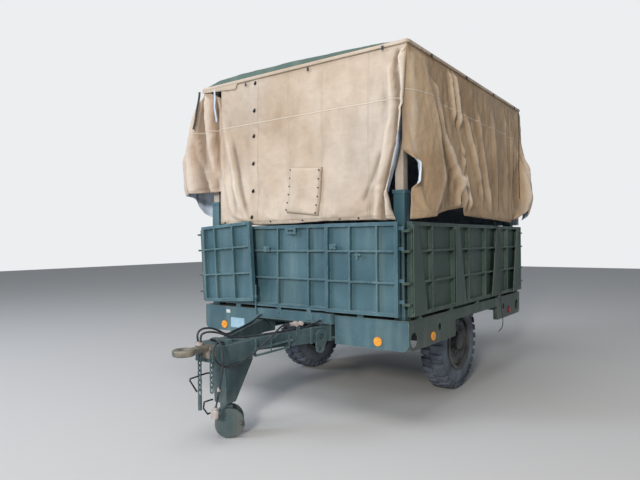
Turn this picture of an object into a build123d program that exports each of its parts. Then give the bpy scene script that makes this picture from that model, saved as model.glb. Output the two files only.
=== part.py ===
import os
from math import atan2, cos, hypot, pi, radians, sin, tan

from build123d import *

os.makedirs("parts", exist_ok=True)

# A two-wheeled kitchen trailer, parked with its roof raised. Sizes are in millimetres.
# X is to the right, seen from in front, Y runs to the rear from the body's front face, and Z is
# the height above the ground. The finished pieces are moved so that the tow eye is the origin.

# Driving dimensions of the body
body_width = 2440
body_length = 3120
floor_height = 915
skirt_depth = 259
sheet = 5
fit_gap = 0.3
wall_height = 830
panel_thickness = 45
frame_width = 30
rib_width = 14
roof_height = 3230

# Running gear
wheel_radius = 500
tyre_width = 240
wheel_y = 1535
wheel_x = 928
rim_radius = 272
lugs_a_side = 32

# Drawbar and support leg
tow_eye_reach = 1340
tow_eye_height = 750
tow_eye_bore = 38
tow_eye_section = 50
head_width = 320
head_front = 1085
head_rear = 750
head_depth = 148
caster_radius = 120
leg_pivot_y = -700

half_width = body_width / 2
skirt_bottom = floor_height - skirt_depth
panel_top = floor_height + wall_height


def block(x, y, z):
    """A box from its two limits on each axis."""
    size = [b - a for a, b in (x, y, z)]
    middle = [(a + b) / 2 for a, b in (x, y, z)]
    return Pos(*middle) * Box(*size)


def both_sides(solid):
    """A piece and its mirror image on the other side of the trailer."""
    return [solid, mirror(solid, about=Plane.YZ)]


def rod(start, end, radius):
    """A round bar between two points."""
    a, b = Vector(*start), Vector(*end)
    plane = Plane(origin=a, z_dir=(b - a).normalized())
    return extrude(plane * Circle(radius), amount=(b - a).length)


def along_x(points, x):
    """An outline of (y, z) points, as thick as the two x limits."""
    face = make_face(Plane.YZ.offset(x[0]) * Polyline(*points, close=True))
    return extrude(face, amount=x[1] - x[0], dir=(1, 0, 0))


def along_y(points, y):
    """An outline of (x, z) points, as thick as the two y limits."""
    face = make_face(Plane.XZ.offset(-y[0]) * Polyline(*points, close=True))
    return extrude(face, amount=y[1] - y[0], dir=(0, 1, 0))


# Underframe

rail_x = 470
rail_width = 60
rail_bottom = floor_height - 205
channel_wall = 8
deck_thickness = 8
deck_bottom = floor_height - deck_thickness
cross_width = 60
cross_bottom = floor_height - 135
cross_members = [200, 935, body_length - 810, body_length - 200]
skirt_inside = half_width - sheet - fit_gap
front_beam_half = 475
front_beam_depth = 60
front_beam = (floor_height - 80, floor_height + 15)
beam_corner = front_beam_depth * 0.8

# Hinge bar of the front wall, held on the beam by two bracket plates
hinge_bar_half = 410
hinge_bar_height = floor_height + 45
hinge_bar_radius = 6
bracket_places = [-125, 233]
bracket_plate = 8
bracket_foot = 44
bracket_head = 12


def hinge_bracket(x):
    """A tapered plate on the face of the beam, with a round window, that carries the hinge bar."""
    low, high = front_beam[0] + 24, hinge_bar_height + bracket_head
    outline = [(x - bracket_foot, low), (x + bracket_foot, low), (x + bracket_head, high),
               (x - bracket_head, high)]
    near = -front_beam_depth - bracket_plate
    plate = along_y(outline, (near, -front_beam_depth))
    middle = (low * 2 + high) / 3
    return plate - rod((x, near - 1, middle), (x, -front_beam_depth + 1, middle), bracket_head)


def chassis_frame():
    """Two channel rails, channel cross-members out to the skirts, and the round-ended front beam."""
    start, end = sheet + fit_gap, body_length - sheet - fit_gap
    inner, outer = rail_x - rail_width / 2, rail_x + rail_width / 2
    rail = block((inner, outer), (start, end), (rail_bottom, deck_bottom))
    rail -= block((inner - channel_wall, outer - channel_wall), (start - 1, end + 1),
                  (rail_bottom + channel_wall, deck_bottom - channel_wall))
    frame = Part() + both_sides(rail)
    for y in cross_members:
        near, far = y - cross_width / 2, y + cross_width / 2
        cross = block((-skirt_inside, skirt_inside), (near, far), (cross_bottom, deck_bottom))
        frame += cross - block((-half_width, half_width), (near + channel_wall, far + channel_wall),
                               (cross_bottom + channel_wall, deck_bottom - channel_wall))
    beam = block((-front_beam_half, front_beam_half), (-front_beam_depth, 0), front_beam)
    beam = fillet(beam.edges().filter_by(Axis.Z).group_by(Axis.Y)[0], beam_corner)
    web = block((-front_beam_half, front_beam_half), (0, cross_width), (front_beam[0], deck_bottom))
    bar = rod((-hinge_bar_half, -front_beam_depth, hinge_bar_height),
              (hinge_bar_half, -front_beam_depth, hinge_bar_height), hinge_bar_radius)
    frame += [beam, web, bar] + [hinge_bracket(x) for x in bracket_places]
    for route in (air_hose_left, air_hose_middle):
        frame += gland(route[-2], route[-1], -front_beam_depth + 10)
    return frame


# Pipe along the foot of the beam
pipe_radius = 6
pipe_rise = 8
pipe_ends = (-425, 452)


def beam_pipe():
    """A plain pipe across the beam's face, a little higher at its right end."""
    y = -front_beam_depth - fit_gap - pipe_radius
    low, high = front_beam[0] + pipe_rise - 3, front_beam[0] + pipe_rise + 3
    return rod((pipe_ends[0], y, low), (pipe_ends[1], y, high), pipe_radius)


# Wheel housings in the floor
housing_inside = 735
housing_outside = half_width - 30
housing_length = 1120
housing_top = floor_height + 165
housing_y = (wheel_y - housing_length / 2, wheel_y + housing_length / 2)

# Corner posts
post_x = half_width - 110
post_inset = 100
post_size = 100
post_wall = 4
post_top = floor_height + 1104
inner_post_size = 78
inner_post_overlap = 290
inner_post_cap = 10
collar_height = 30
collar_size = 116
post_places = [(side * post_x, y) for side in (-1, 1)
               for y in (post_inset, body_length - post_inset)]


def deck():
    """The floor, with its wheel openings and a hole for each corner post."""
    floor = block((-skirt_inside, skirt_inside), (sheet + fit_gap, body_length - sheet - fit_gap),
                  (deck_bottom, floor_height))
    for side in (-1, 1):
        edges = sorted((side * housing_inside, side * housing_outside))
        floor -= block(edges, housing_y, (deck_bottom - sheet, floor_height + sheet))
    for x, y in post_places:
        half = post_size / 2 + fit_gap
        floor -= block((x - half, x + half), (y - half, y + half),
                       (deck_bottom - sheet, floor_height + sheet))
    return floor


def wheel_housings():
    """The two boxes over the wheels, open below."""
    outer = block((housing_inside + fit_gap, housing_outside - fit_gap),
                  (housing_y[0] + fit_gap, housing_y[1] - fit_gap), (deck_bottom, housing_top))
    inner = block((housing_inside + fit_gap + sheet, housing_outside - fit_gap - sheet),
                  (housing_y[0] + fit_gap + sheet, housing_y[1] - fit_gap - sheet),
                  (deck_bottom - sheet, housing_top - sheet))
    return both_sides(outer - inner)


# Skirts round the floor
arch_y = (994, body_length - 855)
arch_rise = 158
arch_bottom = skirt_bottom + arch_rise
arch_flange = 55
skirt_corner = 60
skirt_holes = [  # y, height above the skirt's lower edge, radius
    (95, 92, 65),
    (626, 136, 37),
    (body_length - 641, 137, 37),
    (body_length - 123, 106, 65),
]


def skirt_side():
    """The right skirt, cut higher over the wheel with a flange turned in there, and its holes."""
    middle = (skirt_bottom + floor_height) / 2
    face = Pos(body_length / 2, middle) * Rectangle(body_length, skirt_depth)
    low = face.vertices().group_by(Axis.Y)[0]
    face = fillet(low, skirt_corner)
    face -= Pos((arch_y[0] + arch_y[1]) / 2, skirt_bottom) * Rectangle(
        arch_y[1] - arch_y[0], 2 * arch_rise)
    for y, rise, radius in skirt_holes:
        face -= Pos(y, skirt_bottom + rise) * Circle(radius)
    skirt = extrude(Plane.YZ.offset(half_width - sheet) * face, amount=sheet)
    turned_in = (half_width - arch_flange, half_width)
    for y in ((arch_y[0] - sheet, arch_y[0]), (arch_y[1], arch_y[1] + sheet)):
        skirt += block(turned_in, y, (skirt_bottom, arch_bottom + sheet))
    return skirt + block(turned_in, (arch_y[0] - sheet, arch_y[1] + sheet),
                         (arch_bottom, arch_bottom + sheet))


def skirt_end(y, gap):
    """An end skirt in two halves, either side of a gap in the middle."""
    outside = half_width - sheet
    length = outside - gap
    face = Pos(gap + length / 2, (skirt_bottom + floor_height) / 2) * Rectangle(length, skirt_depth)
    corner = face.vertices().group_by(Axis.Y)[0].sort_by(Axis.X)[-1]
    face = fillet(corner, skirt_corner)
    return both_sides(extrude(Plane.XZ.offset(-y) * face, amount=-sheet))


rear_gap = 300


def outer_posts():
    """Four square tubes with a guide collar at the top of each."""
    half = post_size / 2
    bore = half - post_wall
    tube = block((-half, half), (-half, half), (skirt_bottom, post_top))
    tube -= block((-bore, bore), (-bore, bore), (skirt_bottom - sheet, post_top + sheet))
    half = collar_size / 2
    slide = inner_post_size / 2 + fit_gap
    collar = block((-half, half), (-half, half), (post_top - collar_height, post_top))
    collar -= block((-slide, slide), (-slide, slide), (0, post_top + sheet))
    return [Pos(x, y, 0) * (tube + collar) for x, y in post_places]


# Axle, springs and wheels

axle_radius = 45
backing_radius = 200
backing_plate = 10
drum_radius = 205
drum_wall = 14
drum_back = 12
drum_inner = -160
drum_outer = -50
spindle_radius = 30
spindle_reach = 30
hub_radius = 85
hub_end = 128
spring_x = rail_x
spring_width = 66
spring_half = 450
spring_camber = 55
leaf = 10
leaf_lengths = [1.0, 0.84, 0.68, 0.52, 0.36, 0.2]
eye_radius = 18
seat_half = 60
axle_height = wheel_radius
spring_seat = axle_height + axle_radius + 5


def axle():
    """The axle tube with a backing plate and a spindle at each end, and the spring seats."""
    plate_x = wheel_x + drum_inner - backing_plate
    tube = rod((-plate_x, wheel_y, axle_height), (plate_x, wheel_y, axle_height), axle_radius)
    for side in (-1, 1):
        inner = side * (plate_x - backing_plate)
        outer = side * plate_x
        tip = side * (wheel_x + spindle_reach)
        tube += rod((inner, wheel_y, axle_height), (outer, wheel_y, axle_height), backing_radius)
        tube += rod((outer, wheel_y, axle_height), (tip, wheel_y, axle_height), spindle_radius)
        tube += block((side * spring_x - spring_width / 2, side * spring_x + spring_width / 2),
                      (wheel_y - seat_half, wheel_y + seat_half), (axle_height, spring_seat))
    return tube


def spring():
    """A leaf spring with its two eyes and hangers, arched down to the axle."""
    stack = len(leaf_lengths) * leaf
    top = spring_seat + stack
    radius = (spring_half ** 2 + spring_camber ** 2) / (2 * spring_camber)
    centre = top + radius
    profile = Sketch()
    for row, share in enumerate(leaf_lengths):
        reach = spring_half * share / radius
        outside = radius + leaf * (row + 1)
        start, end = -pi / 2 - reach, -pi / 2 + reach
        wedge = [(0, 0)] + [(2 * radius * cos(a), 2 * radius * sin(a)) for a in (start, end)]
        ring = Circle(outside) - Circle(outside - leaf)
        profile += Pos(wheel_y, centre) * (ring & make_face(Polyline(*wedge, close=True)))
    spring_left = spring_x - spring_width / 2
    body = extrude(Plane.YZ.offset(spring_left) * profile, amount=spring_width)
    eye_z = top + spring_camber
    for end in (-1, 1):
        y = wheel_y + end * (spring_half + 4)
        body += rod((spring_left, y, eye_z), (spring_left + spring_width, y, eye_z), eye_radius)
        body += block((spring_x - rail_width / 2, spring_x + rail_width / 2), (y - 16, y + 16),
                      (eye_z, rail_bottom))
    return body


tread_radius = wheel_radius - 18
bead_half = 94
bead = 24
tyre_wall = 14
bulge_radius = (tread_radius + rim_radius) / 2 + 13


def tyre_casing():
    """The hollow tyre without its lugs, round the X axis."""
    side = tyre_width / 2
    seat = rim_radius + fit_gap
    shoulder = (side - 26, tread_radius - 14)
    inner_shoulder = (side - 34, tread_radius - 34)
    heel = (bead_half - bead, seat + bead * 0.75)
    with BuildSketch(Plane.XY) as section:
        with BuildLine():
            Polyline((-shoulder[0], shoulder[1]), (0, tread_radius), shoulder)
            ThreePointArc(shoulder, (side - 4, bulge_radius), (bead_half, seat))
            Polyline((bead_half, seat), (heel[0], seat), heel)
            ThreePointArc(heel, (side - 4 - tyre_wall, bulge_radius), inner_shoulder)
            Line(inner_shoulder, (-inner_shoulder[0], inner_shoulder[1]))
            ThreePointArc((-inner_shoulder[0], inner_shoulder[1]),
                          (4 + tyre_wall - side, bulge_radius), (-heel[0], heel[1]))
            Polyline((-heel[0], heel[1]), (-heel[0], seat), (-bead_half, seat))
            ThreePointArc((-bead_half, seat), (4 - side, bulge_radius), (-shoulder[0], shoulder[1]))
        make_face()
    return revolve(section.sketch, axis=Axis.X)


lug_width = 50


def tyre():
    """The casing with a ring of alternating cross lugs."""
    side = tyre_width / 2
    outline = [(6, tread_radius - 12), (6, wheel_radius), (side - 18, wheel_radius - 4),
               (side, wheel_radius - 34), (side, wheel_radius - 62), (side - 24, tread_radius - 24)]
    face = make_face(Polyline(*outline, close=True))
    lug = Pos(0, 0, -lug_width / 2) * extrude(face, amount=lug_width)
    other = mirror(lug, about=Plane.YZ)
    step = 360 / lugs_a_side
    lugs = [Rot(X=step * turn) * lug for turn in range(lugs_a_side)]
    lugs += [Rot(X=step * (turn + 0.5)) * other for turn in range(lugs_a_side)]
    return tyre_casing() + lugs


rim_half = 118
flange_height = 24
disc_flat = 56
hand_holes = 5
hand_hole_radius = 22
hand_hole_circle = rim_radius - 50


def rim():
    """The disc wheel round the X axis: flat at the hub, swelling outwards to its hand holes."""
    flange = rim_radius + flange_height
    ledge = rim_radius - 12
    bore = hub_radius + fit_gap
    lip = rim_half - 8
    outline = [
        (-rim_half, flange), (-lip, flange), (-lip, rim_radius), (lip, rim_radius), (lip, flange),
        (rim_half, flange), (rim_half, ledge), (disc_flat + 8, ledge),
        (disc_flat + 34, ledge - 14), (disc_flat + 44, hand_hole_circle),
        (disc_flat + 36, hand_hole_circle - 32), (disc_flat + 4, 162), (disc_flat, 104),
        (disc_flat, bore), (disc_flat - 10, bore), (disc_flat - 10, 106), (disc_flat - 6, 168),
        (disc_flat + 26, hand_hole_circle - 26), (disc_flat + 34, hand_hole_circle),
        (disc_flat + 24, ledge - 20), (disc_flat - 8, ledge), (-rim_half, ledge),
    ]
    disc = revolve(make_face(Polyline(*outline, close=True)), axis=Axis.X)
    for turn in range(hand_holes):
        hole = Pos(0, hand_hole_circle, 0) * Rot(Y=90) * Cylinder(hand_hole_radius, 4 * rim_half)
        disc -= Rot(X=360 / hand_holes * turn) * hole
    return disc


def hub():
    """The brake drum and hub in one, bored for the spindle, with its flange and end cap."""
    flange_face = disc_flat - 10 - fit_gap
    outline = [
        (drum_inner, drum_radius), (drum_outer, drum_radius), (drum_outer, hub_radius),
        (flange_face - 16, hub_radius), (flange_face - 16, 140), (flange_face, 140),
        (flange_face, hub_radius), (hub_end - 10, hub_radius), (hub_end, hub_radius - 12),
        (hub_end, 58), (hub_end + 12, 52), (hub_end + 12, 0), (spindle_reach + 30, 0),
        (spindle_reach + 30, spindle_radius + fit_gap),
        (drum_outer - drum_back, spindle_radius + fit_gap),
        (drum_outer - drum_back, drum_radius - drum_wall), (drum_inner, drum_radius - drum_wall),
    ]
    return revolve(make_face(Polyline(*outline, close=True)), axis=Axis.X)


def wheel_set(shape):
    """A wheel's piece on the right, and turned about for the left."""
    right = Pos(wheel_x, wheel_y, axle_height) * shape
    left = Pos(-wheel_x, wheel_y, axle_height) * Rot(Z=180) * shape
    return left, right


# Folding walls

hinge_x = half_width + 8
hinge_z = floor_height + 14
panel_bottom = hinge_z + 23
panel_height = panel_top - panel_bottom
platform_inner = half_width - 15
platform_start = 10
platform_length = body_length - 2 * platform_start
platform_ribs = [0.132, 0.293, 0.416, 0.575, 0.704, 0.82]
wall_rows = [panel_height * share for share in (0.354, 0.689)]
knuckle_radius = 12
hinge_pin = 7
knuckle_length = 42
hinge_places = [body_length * share for share in (0.056, 0.275, 0.5, 0.725, 0.944)]
skin = 6


def ribbed_wall(width, height, columns):
    """A pressed wall standing on the XY plane's Y axis: skin behind, frame and ribs in front.

    It runs from 0 to width in X and 0 to height in Y, with its ribs up to Z = panel_thickness.
    """
    slab = block((0, width), (0, height), (0, panel_thickness))
    uprights = [0] + list(columns) + [width]
    levels = [0] + wall_rows + [height]
    pockets = Sketch()

    def clear(edges, index):
        start = edges[index] + (frame_width if index == 0 else rib_width / 2)
        last = index == len(edges) - 2
        return start, edges[index + 1] - (frame_width if last else rib_width / 2)

    for column in range(len(uprights) - 1):
        for row in range(len(levels) - 1):
            x0, x1 = clear(uprights, column)
            y0, y1 = clear(levels, row)
            pockets += Pos((x0 + x1) / 2, (y0 + y1) / 2) * Rectangle(x1 - x0, y1 - y0)
    return slab - extrude(Plane.XY.offset(skin) * pockets, amount=panel_thickness)


# Hinge columns at the ends of the platforms
column_x = half_width - 30
column_out = 35
column_rod = 6
column_levels = [panel_bottom + panel_height * share for share in (0.1425, 0.363, 0.70, 0.914)]
bracket_height = 18
bracket_half = 10
sleeve_height = 26
sleeve_radius = 12
corner_wall = (420, column_x - 35)
corner_ribs = [260, 535]
corner_front = 70


def platform():
    """The right platform, folded up, with its hinge knuckles and a hinge column at each end."""
    ribs = [platform_length * share for share in platform_ribs]
    wall = ribbed_wall(platform_length, panel_height, ribs)
    plane = Plane(origin=(platform_inner, platform_start, panel_bottom), x_dir=(0, 1, 0),
                  z_dir=(1, 0, 0))
    wall = plane.location * wall
    for y in hinge_places:
        tube = rod((hinge_x, y - knuckle_length / 2, hinge_z),
                   (hinge_x, y + knuckle_length / 2, hinge_z), knuckle_radius)
        tube += block((hinge_x - 8, hinge_x + knuckle_radius),
                      (y - knuckle_length / 2, y + knuckle_length / 2), (hinge_z, panel_bottom + 2))
        wall += tube
    for y in hinge_places:
        wall -= rod((hinge_x, y - knuckle_length, hinge_z), (hinge_x, y + knuckle_length, hinge_z),
                    hinge_pin + fit_gap)
    for end in (0, 1):
        wall += at_end(column_half(), end)
    return wall


def at_end(shape, end):
    """A piece modelled at the front end, or its mirror image at the rear end."""
    if end == 0:
        return shape
    return mirror(shape, about=Plane.XZ.offset(-body_length / 2))


def column_half():
    """The brackets and the rod that a corner wall swings on, at the platform's front end."""
    parts = Part() + rod((column_x, -column_out, column_levels[0] - bracket_height),
                         (column_x, -column_out, column_levels[-1] + sleeve_height + 12), column_rod)
    for level in column_levels:
        parts += block((column_x - bracket_half, platform_inner + panel_thickness),
                       (-column_out - bracket_half, platform_start + 2),
                       (level - bracket_height, level))
    return parts


def corner_wall_front():
    """The right front corner wall, closed, with the sleeves that turn on the hinge column."""
    start, end = corner_wall
    wall = ribbed_wall(end - start, panel_height, corner_ribs)
    plane = Plane(origin=(start, -corner_front + panel_thickness, panel_bottom), x_dir=(1, 0, 0),
                  z_dir=(0, -1, 0))
    wall = plane.location * wall
    for level in column_levels:
        low = level + fit_gap
        sleeve = rod((column_x, -column_out, low), (column_x, -column_out, low + sleeve_height),
                     sleeve_radius)
        sleeve += block((end - 10, column_x), (-column_out - 5, -column_out + 5),
                        (low, low + sleeve_height))
        wall += sleeve
    for level in column_levels:
        wall -= rod((column_x, -column_out, level - 5),
                    (column_x, -column_out, level + sleeve_height + 10), column_rod + fit_gap)
    return wall


# Gussets that fold out under a lowered platform
gusset_plate = 6
gusset_low = 255
gusset_high = 80
gusset_foot = 30
gusset_span = (panel_bottom + 5, panel_top - 24)
gusset_axis_x = platform_inner + panel_thickness + 10
gusset_barrel = 8
gusset_gap = 0.4
gusset_rows = [  # hinge edge y, side that the plate lies to
    (19, 1),
    (928, 1),
    (body_length - 908, -1),
    (body_length - 141, -1),
]
gusset_ear = 24


def gusset(y, side):
    """A tapered plate flat against the platform, with its hinge barrel on the upright edge."""
    low, high = gusset_span
    edge = y + side * gusset_barrel / 2
    outline = [(edge, low), (y + side * gusset_low, low), (y + side * gusset_low, low + gusset_foot),
               (y + side * gusset_high, high), (edge, high)]
    plate = along_x(outline, (gusset_axis_x - gusset_plate / 2, gusset_axis_x + gusset_plate / 2))
    barrel = rod((gusset_axis_x, y, low + gusset_ear), (gusset_axis_x, y, high - gusset_ear),
                 gusset_barrel)
    notch = block((gusset_axis_x - 20, gusset_axis_x + 20), sorted((y - side * 12, y + side * 12)),
                  (low - 5, low + gusset_ear - gusset_gap))
    top_notch = Pos(0, 0, high - low - gusset_ear + gusset_gap) * block(
        (gusset_axis_x - 20, gusset_axis_x + 20), sorted((y - side * 12, y + side * 12)),
        (low, low + gusset_ear + 5))
    return plate + barrel - notch - top_notch


def gusset_ears(y):
    """The two ears on the platform that hold a gusset's barrel, on a strip up the skin."""
    low, high = gusset_span
    ears = block((platform_inner, platform_inner + panel_thickness),
                 (y - gusset_barrel, y + gusset_barrel), (panel_bottom, panel_top))
    for start in (low, high - gusset_ear + gusset_gap):
        end = start + gusset_ear - gusset_gap
        ears += rod((gusset_axis_x, y, start), (gusset_axis_x, y, end), gusset_barrel)
        ears += block((platform_inner + panel_thickness - 4, gusset_axis_x),
                      (y - gusset_barrel, y + gusset_barrel), (start, end))
    return ears


def platform_with_ears():
    wall = platform()
    for y, side in gusset_rows:
        wall += gusset_ears(y)
    return wall


# End walls between the corner walls
end_half = half_width - 115
end_front = 15
end_ribs = [180, 550, 920, 1290, 1660, 2030]
end_feet = [-740, -200, 170, 740]
end_foot_half = 30


def end_wall():
    """The wide front wall behind the corner walls, standing on its hinge feet."""
    wall = ribbed_wall(2 * end_half, panel_height, end_ribs)
    plane = Plane(origin=(-end_half, -end_front + panel_thickness, panel_bottom), x_dir=(1, 0, 0),
                  z_dir=(0, -1, 0))
    wall = plane.location * wall
    for x in end_feet:
        wall += block((x - end_foot_half, x + end_foot_half),
                      (sheet + fit_gap, panel_thickness - end_front), (floor_height, panel_bottom))
    return wall


lug_radius = 14
lug_near = 1
lug_far = 13


def hinge_forks():
    """The forked lugs and pins along both edges of the floor that carry the platforms."""
    forks = []
    for y in hinge_places:
        fork = rod((hinge_x, y - knuckle_length / 2 - lug_far, hinge_z),
                   (hinge_x, y + knuckle_length / 2 + lug_far, hinge_z), hinge_pin)
        for side in (-1, 1):
            near = y + side * (knuckle_length / 2 + lug_near)
            far = y + side * (knuckle_length / 2 + lug_far)
            fork += rod((hinge_x, near, hinge_z), (hinge_x, far, hinge_z), lug_radius)
            fork += block((hinge_x - 28, hinge_x + 4), sorted((near, far)), (floor_height, hinge_z))
        below = block((hinge_x - 40, hinge_x + 40), (y - 60, y + 60), (hinge_z - 40, floor_height))
        forks += both_sides(fork - below)
    return forks


# The left platform is stored a little open, and its front corner wall is swung out a little
platform_ajar = 3.5
corner_ajar = 3


def left_side(shape):
    """The mirror image of a right piece, leaning out with the left platform."""
    axis = Axis((-hinge_x, 0, hinge_z), (0, 1, 0))
    return mirror(shape, about=Plane.YZ).rotate(axis, -platform_ajar)


# Roof and canvas

rim_height = 30
rim_width = 60
bow_half = 25
crown_inset = 25
crown_slope = 700
roof_skin = 6
canvas = 10
canvas_top = roof_height + rim_height
canvas_bottom = panel_top + 12
crown_start = canvas_top + 15
crown_top = crown_start + 45


def roof():
    """The roof: a rim all round, bows across it and a crowned skin."""
    rim = block((-half_width, half_width), (0, body_length), (roof_height, canvas_top))
    rim -= block((rim_width - half_width, half_width - rim_width),
                 (rim_width, body_length - rim_width), (roof_height - sheet, canvas_top + sheet))
    for y in (body_length * 0.25, body_length * 0.5, body_length * 0.75):
        rim += block((rim_width - half_width, half_width - rim_width), (y - bow_half, y + bow_half),
                     (roof_height, canvas_top))
    shell = rim + crown(0) - crown(roof_skin)
    half = collar_size / 2 + 10
    for x, y in post_places:
        pad = block((x - half, x + half), (y - half, y + half), (canvas_top, crown_top))
        shell += pad & crown(0)
    return shell


def crown(inset):
    """The roof's crowned top as a solid, or the hollow under its skin."""
    width = body_width - 2 * crown_inset - 2 * inset
    length = body_length - 2 * crown_inset - 2 * inset
    middle = body_length / 2
    edge = block((-width / 2, width / 2), (middle - length / 2, middle + length / 2),
                 (canvas_top, crown_start - inset))
    low = Plane.XY.offset(crown_start - inset) * Pos(0, middle) * Rectangle(width, length)
    high = Plane.XY.offset(crown_top - inset) * Pos(0, middle) * Rectangle(
        width - crown_slope, length - crown_slope)
    return edge + loft([low, high])


def inner_posts():
    """The four square tubes that slide in the corner posts and carry the roof."""
    half = inner_post_size / 2
    bore = half - post_wall
    low = post_top - inner_post_overlap
    tube = block((-half, half), (-half, half), (low, canvas_top))
    tube -= block((-bore, bore), (-bore, bore), (low - sheet, canvas_top - inner_post_cap))
    rim = roof_frame_space()
    return [Pos(x, y, 0) * tube - rim for x, y in post_places]


def roof_frame_space():
    """The room that the roof's rim takes, which the posts stop short of."""
    outer = block((-half_width, half_width), (0, body_length), (roof_height, canvas_top))
    return outer - block((rim_width - half_width + fit_gap, half_width - rim_width - fit_gap),
                         (rim_width + fit_gap, body_length - rim_width - fit_gap),
                         (roof_height - sheet, canvas_top + sheet))


def canvas_end(y):
    """A curtain across one end, from the roof's rim to the top of the walls."""
    return block((-half_width, half_width), y, (canvas_bottom, canvas_top))


def canvas_side():
    """The right-hand curtain."""
    return block((half_width + fit_gap, half_width + fit_gap + canvas), (0, body_length),
                 (canvas_bottom, canvas_top))


# Tied-up corners of the side curtains, seen from in front: how far they stand out from the
# body's side, and the height as a share of the curtain's.
bag_left = [
    (5, 0.03), (250, 0.04), (370, 0.09), (440, 0.225), (470, 0.505), (260, 0.77), (5, 0.957),
]
bag_left_y = (15, 430)
bag_right = [(5, 0.03), (150, 0.06), (220, 0.24), (180, 0.505), (5, 0.804)]
bag_right_y = (body_length - 340, body_length - 10)


def canvas_with_bag(bag, y):
    """A side curtain with one bulging, tied-up corner."""
    height = canvas_top - canvas_bottom
    outline = [(half_width + out, canvas_bottom + share * height) for out, share in bag]
    return canvas_side() + along_y(outline, y)


# Drawbar

head_top = tow_eye_height + 25
head_bottom = head_top - head_depth
head_slot_front = 140
leg_thickness = 60
leg_half_front = (head_width - leg_thickness) / 2
leg_half_rear = rail_x - rail_width / 2 - leg_thickness / 2 - fit_gap
leg_end_y = cross_members[0] - cross_width / 2
leg_front = (head_bottom + 57, head_top + 9)
leg_rear = (front_beam[0] - 151, front_beam[0] - 11)
leg_run = hypot(leg_half_rear - leg_half_front, head_rear)
leg_turn = atan2(head_rear, leg_half_rear - leg_half_front)
leg_plane = Plane(origin=(leg_half_front, -head_rear, 0), x_dir=(cos(leg_turn), sin(leg_turn), 0),
                  z_dir=(sin(leg_turn), -cos(leg_turn), 0))
leg_face = leg_plane.offset(leg_thickness / 2)
pivot_height = head_bottom - 13
pivot_radius = 12
ear_inner = 78
ear_outer = 92
brace_half_width = 150
brace = (head_bottom + 46, head_top - 20)

# Lifting plates, bands and hose fittings on the drawbar; places are distances back along the
# leg from the rear of the head, and heights.
lift_plate = 22
lift_head = (688, front_beam[0] - 100)
lift_toe = (674, front_beam[0] - 207)
lift_head_radius = 62
lift_toe_radius = 38
band_place = 592
band_half = 11
band_plate = 8
hose_stand_place = 450
hose_stand_top = head_top + 73
hose_block = ((-30, 150), (-1030, -980), (head_top, head_top + 40))
hose = 17
cable = 14
rope = 9
gland_extra = 5

# Routes of the hoses and the cable, from end to end
air_hose_right = [
    (288, -413, 870), (267, -469, 870), (290, -552, 862), (296, -634, 817), (266, -726, 752),
    (232, -802, 690), (206, -880, 641), (193, -968, 611), (190, -1058, 606), (188, -1145, 634),
    (178, -1200, 703), (168, -1198, 765), (152, -1150, 806), (130, -1092, 803), (119, -1038, 797),
]
air_hose_left = [
    (-42, -1160, 805), (-42, -1172, 852), (-41, -1150, 888), (-39, -1098, 902), (-37, -1022, 893),
    (-35, -945, 862), (-52, -868, 825), (-95, -790, 804), (-150, -690, 800), (-195, -572, 806),
    (-239, -455, 811), (-286, -325, 818), (-333, -197, 827), (-360, -72, 870),
]
air_hose_middle = [
    (-8, -1160, 802), (-7, -1170, 845), (2, -1146, 874), (24, -1086, 878), (46, -1010, 858),
    (68, -930, 822), (94, -845, 800), (128, -748, 800), (165, -645, 803), (203, -553, 808),
    (245, -440, 812), (291, -312, 820), (335, -190, 830), (366, -72, 870),
]
electric_cable = [
    (28, -1038, 798), (30, -1085, 806), (62, -1130, 828), (125, -1142, 842), (184, -1128, 806),
    (212, -1136, 724), (213, -1137, 627), (188, -1132, 534), (160, -1128, 448), (137, -1124, 368),
    (113, -1122, 300),
]
tie_rope = [
    (1234.5, 2110, 1790), (1262, 2112, 1750), (1276, 2134, 1695), (1277, 2178, 1620),
    (1276, 2203, 1520), (1277, 2199, 1400), (1276, 2190, 1275), (1277, 2187, 1150),
    (1276, 2192, 1025), (1277, 2206, 900), (1276, 2228, 785), (1277, 2262, 690), (1276, 2276, 622),
    (1277, 2240, 578), (1276, 2176, 558), (1277, 2112, 548),
]


def cord(name, route, diameter):
    """A tube along straight runs joined by arcs, each as large as its two runs allow."""
    points = [Vector(*place) for place in route]
    radii = []
    for before, here, after in zip(points, points[1:], points[2:]):
        turn = radians((here - before).get_angle(after - here))
        shorter = min((here - before).length, (after - here).length)
        radii.append(0.45 * shorter / tan(turn / 2))
    path = FilletPolyline(*points, radius=radii)
    tube = sweep(Plane(origin=path @ 0, z_dir=path % 0) * Circle(diameter / 2), path=path)
    ideal = pi * diameter ** 2 / 4 * path.length
    print(name, "length", round(path.length), "volume share", round(tube.volume / ideal, 4),
          "radii", [round(radius) for radius in radii])
    return tube


def gland(before, end, reach_y):
    """A short socket that takes a hose end squarely and runs on into the piece behind it."""
    a, b = Vector(*before), Vector(*end)
    along = (b - a).normalized()
    far = b + along * ((reach_y - b.Y) / along.Y)
    return rod(b, far, hose / 2 + gland_extra)


def lifting_plate():
    """A pear-shaped plate with two holes on the outer face of the right leg."""
    head, toe = Pos(*lift_head), Pos(*lift_toe)
    edges = (head * Circle(lift_head_radius)).edges() + (toe * Circle(lift_toe_radius)).edges()
    face = make_hull(edges)
    face -= head * Circle(lift_head_radius / 2)
    face -= toe * Circle(lift_toe_radius / 2)
    return extrude(leg_face * face, amount=lift_plate)


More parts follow.
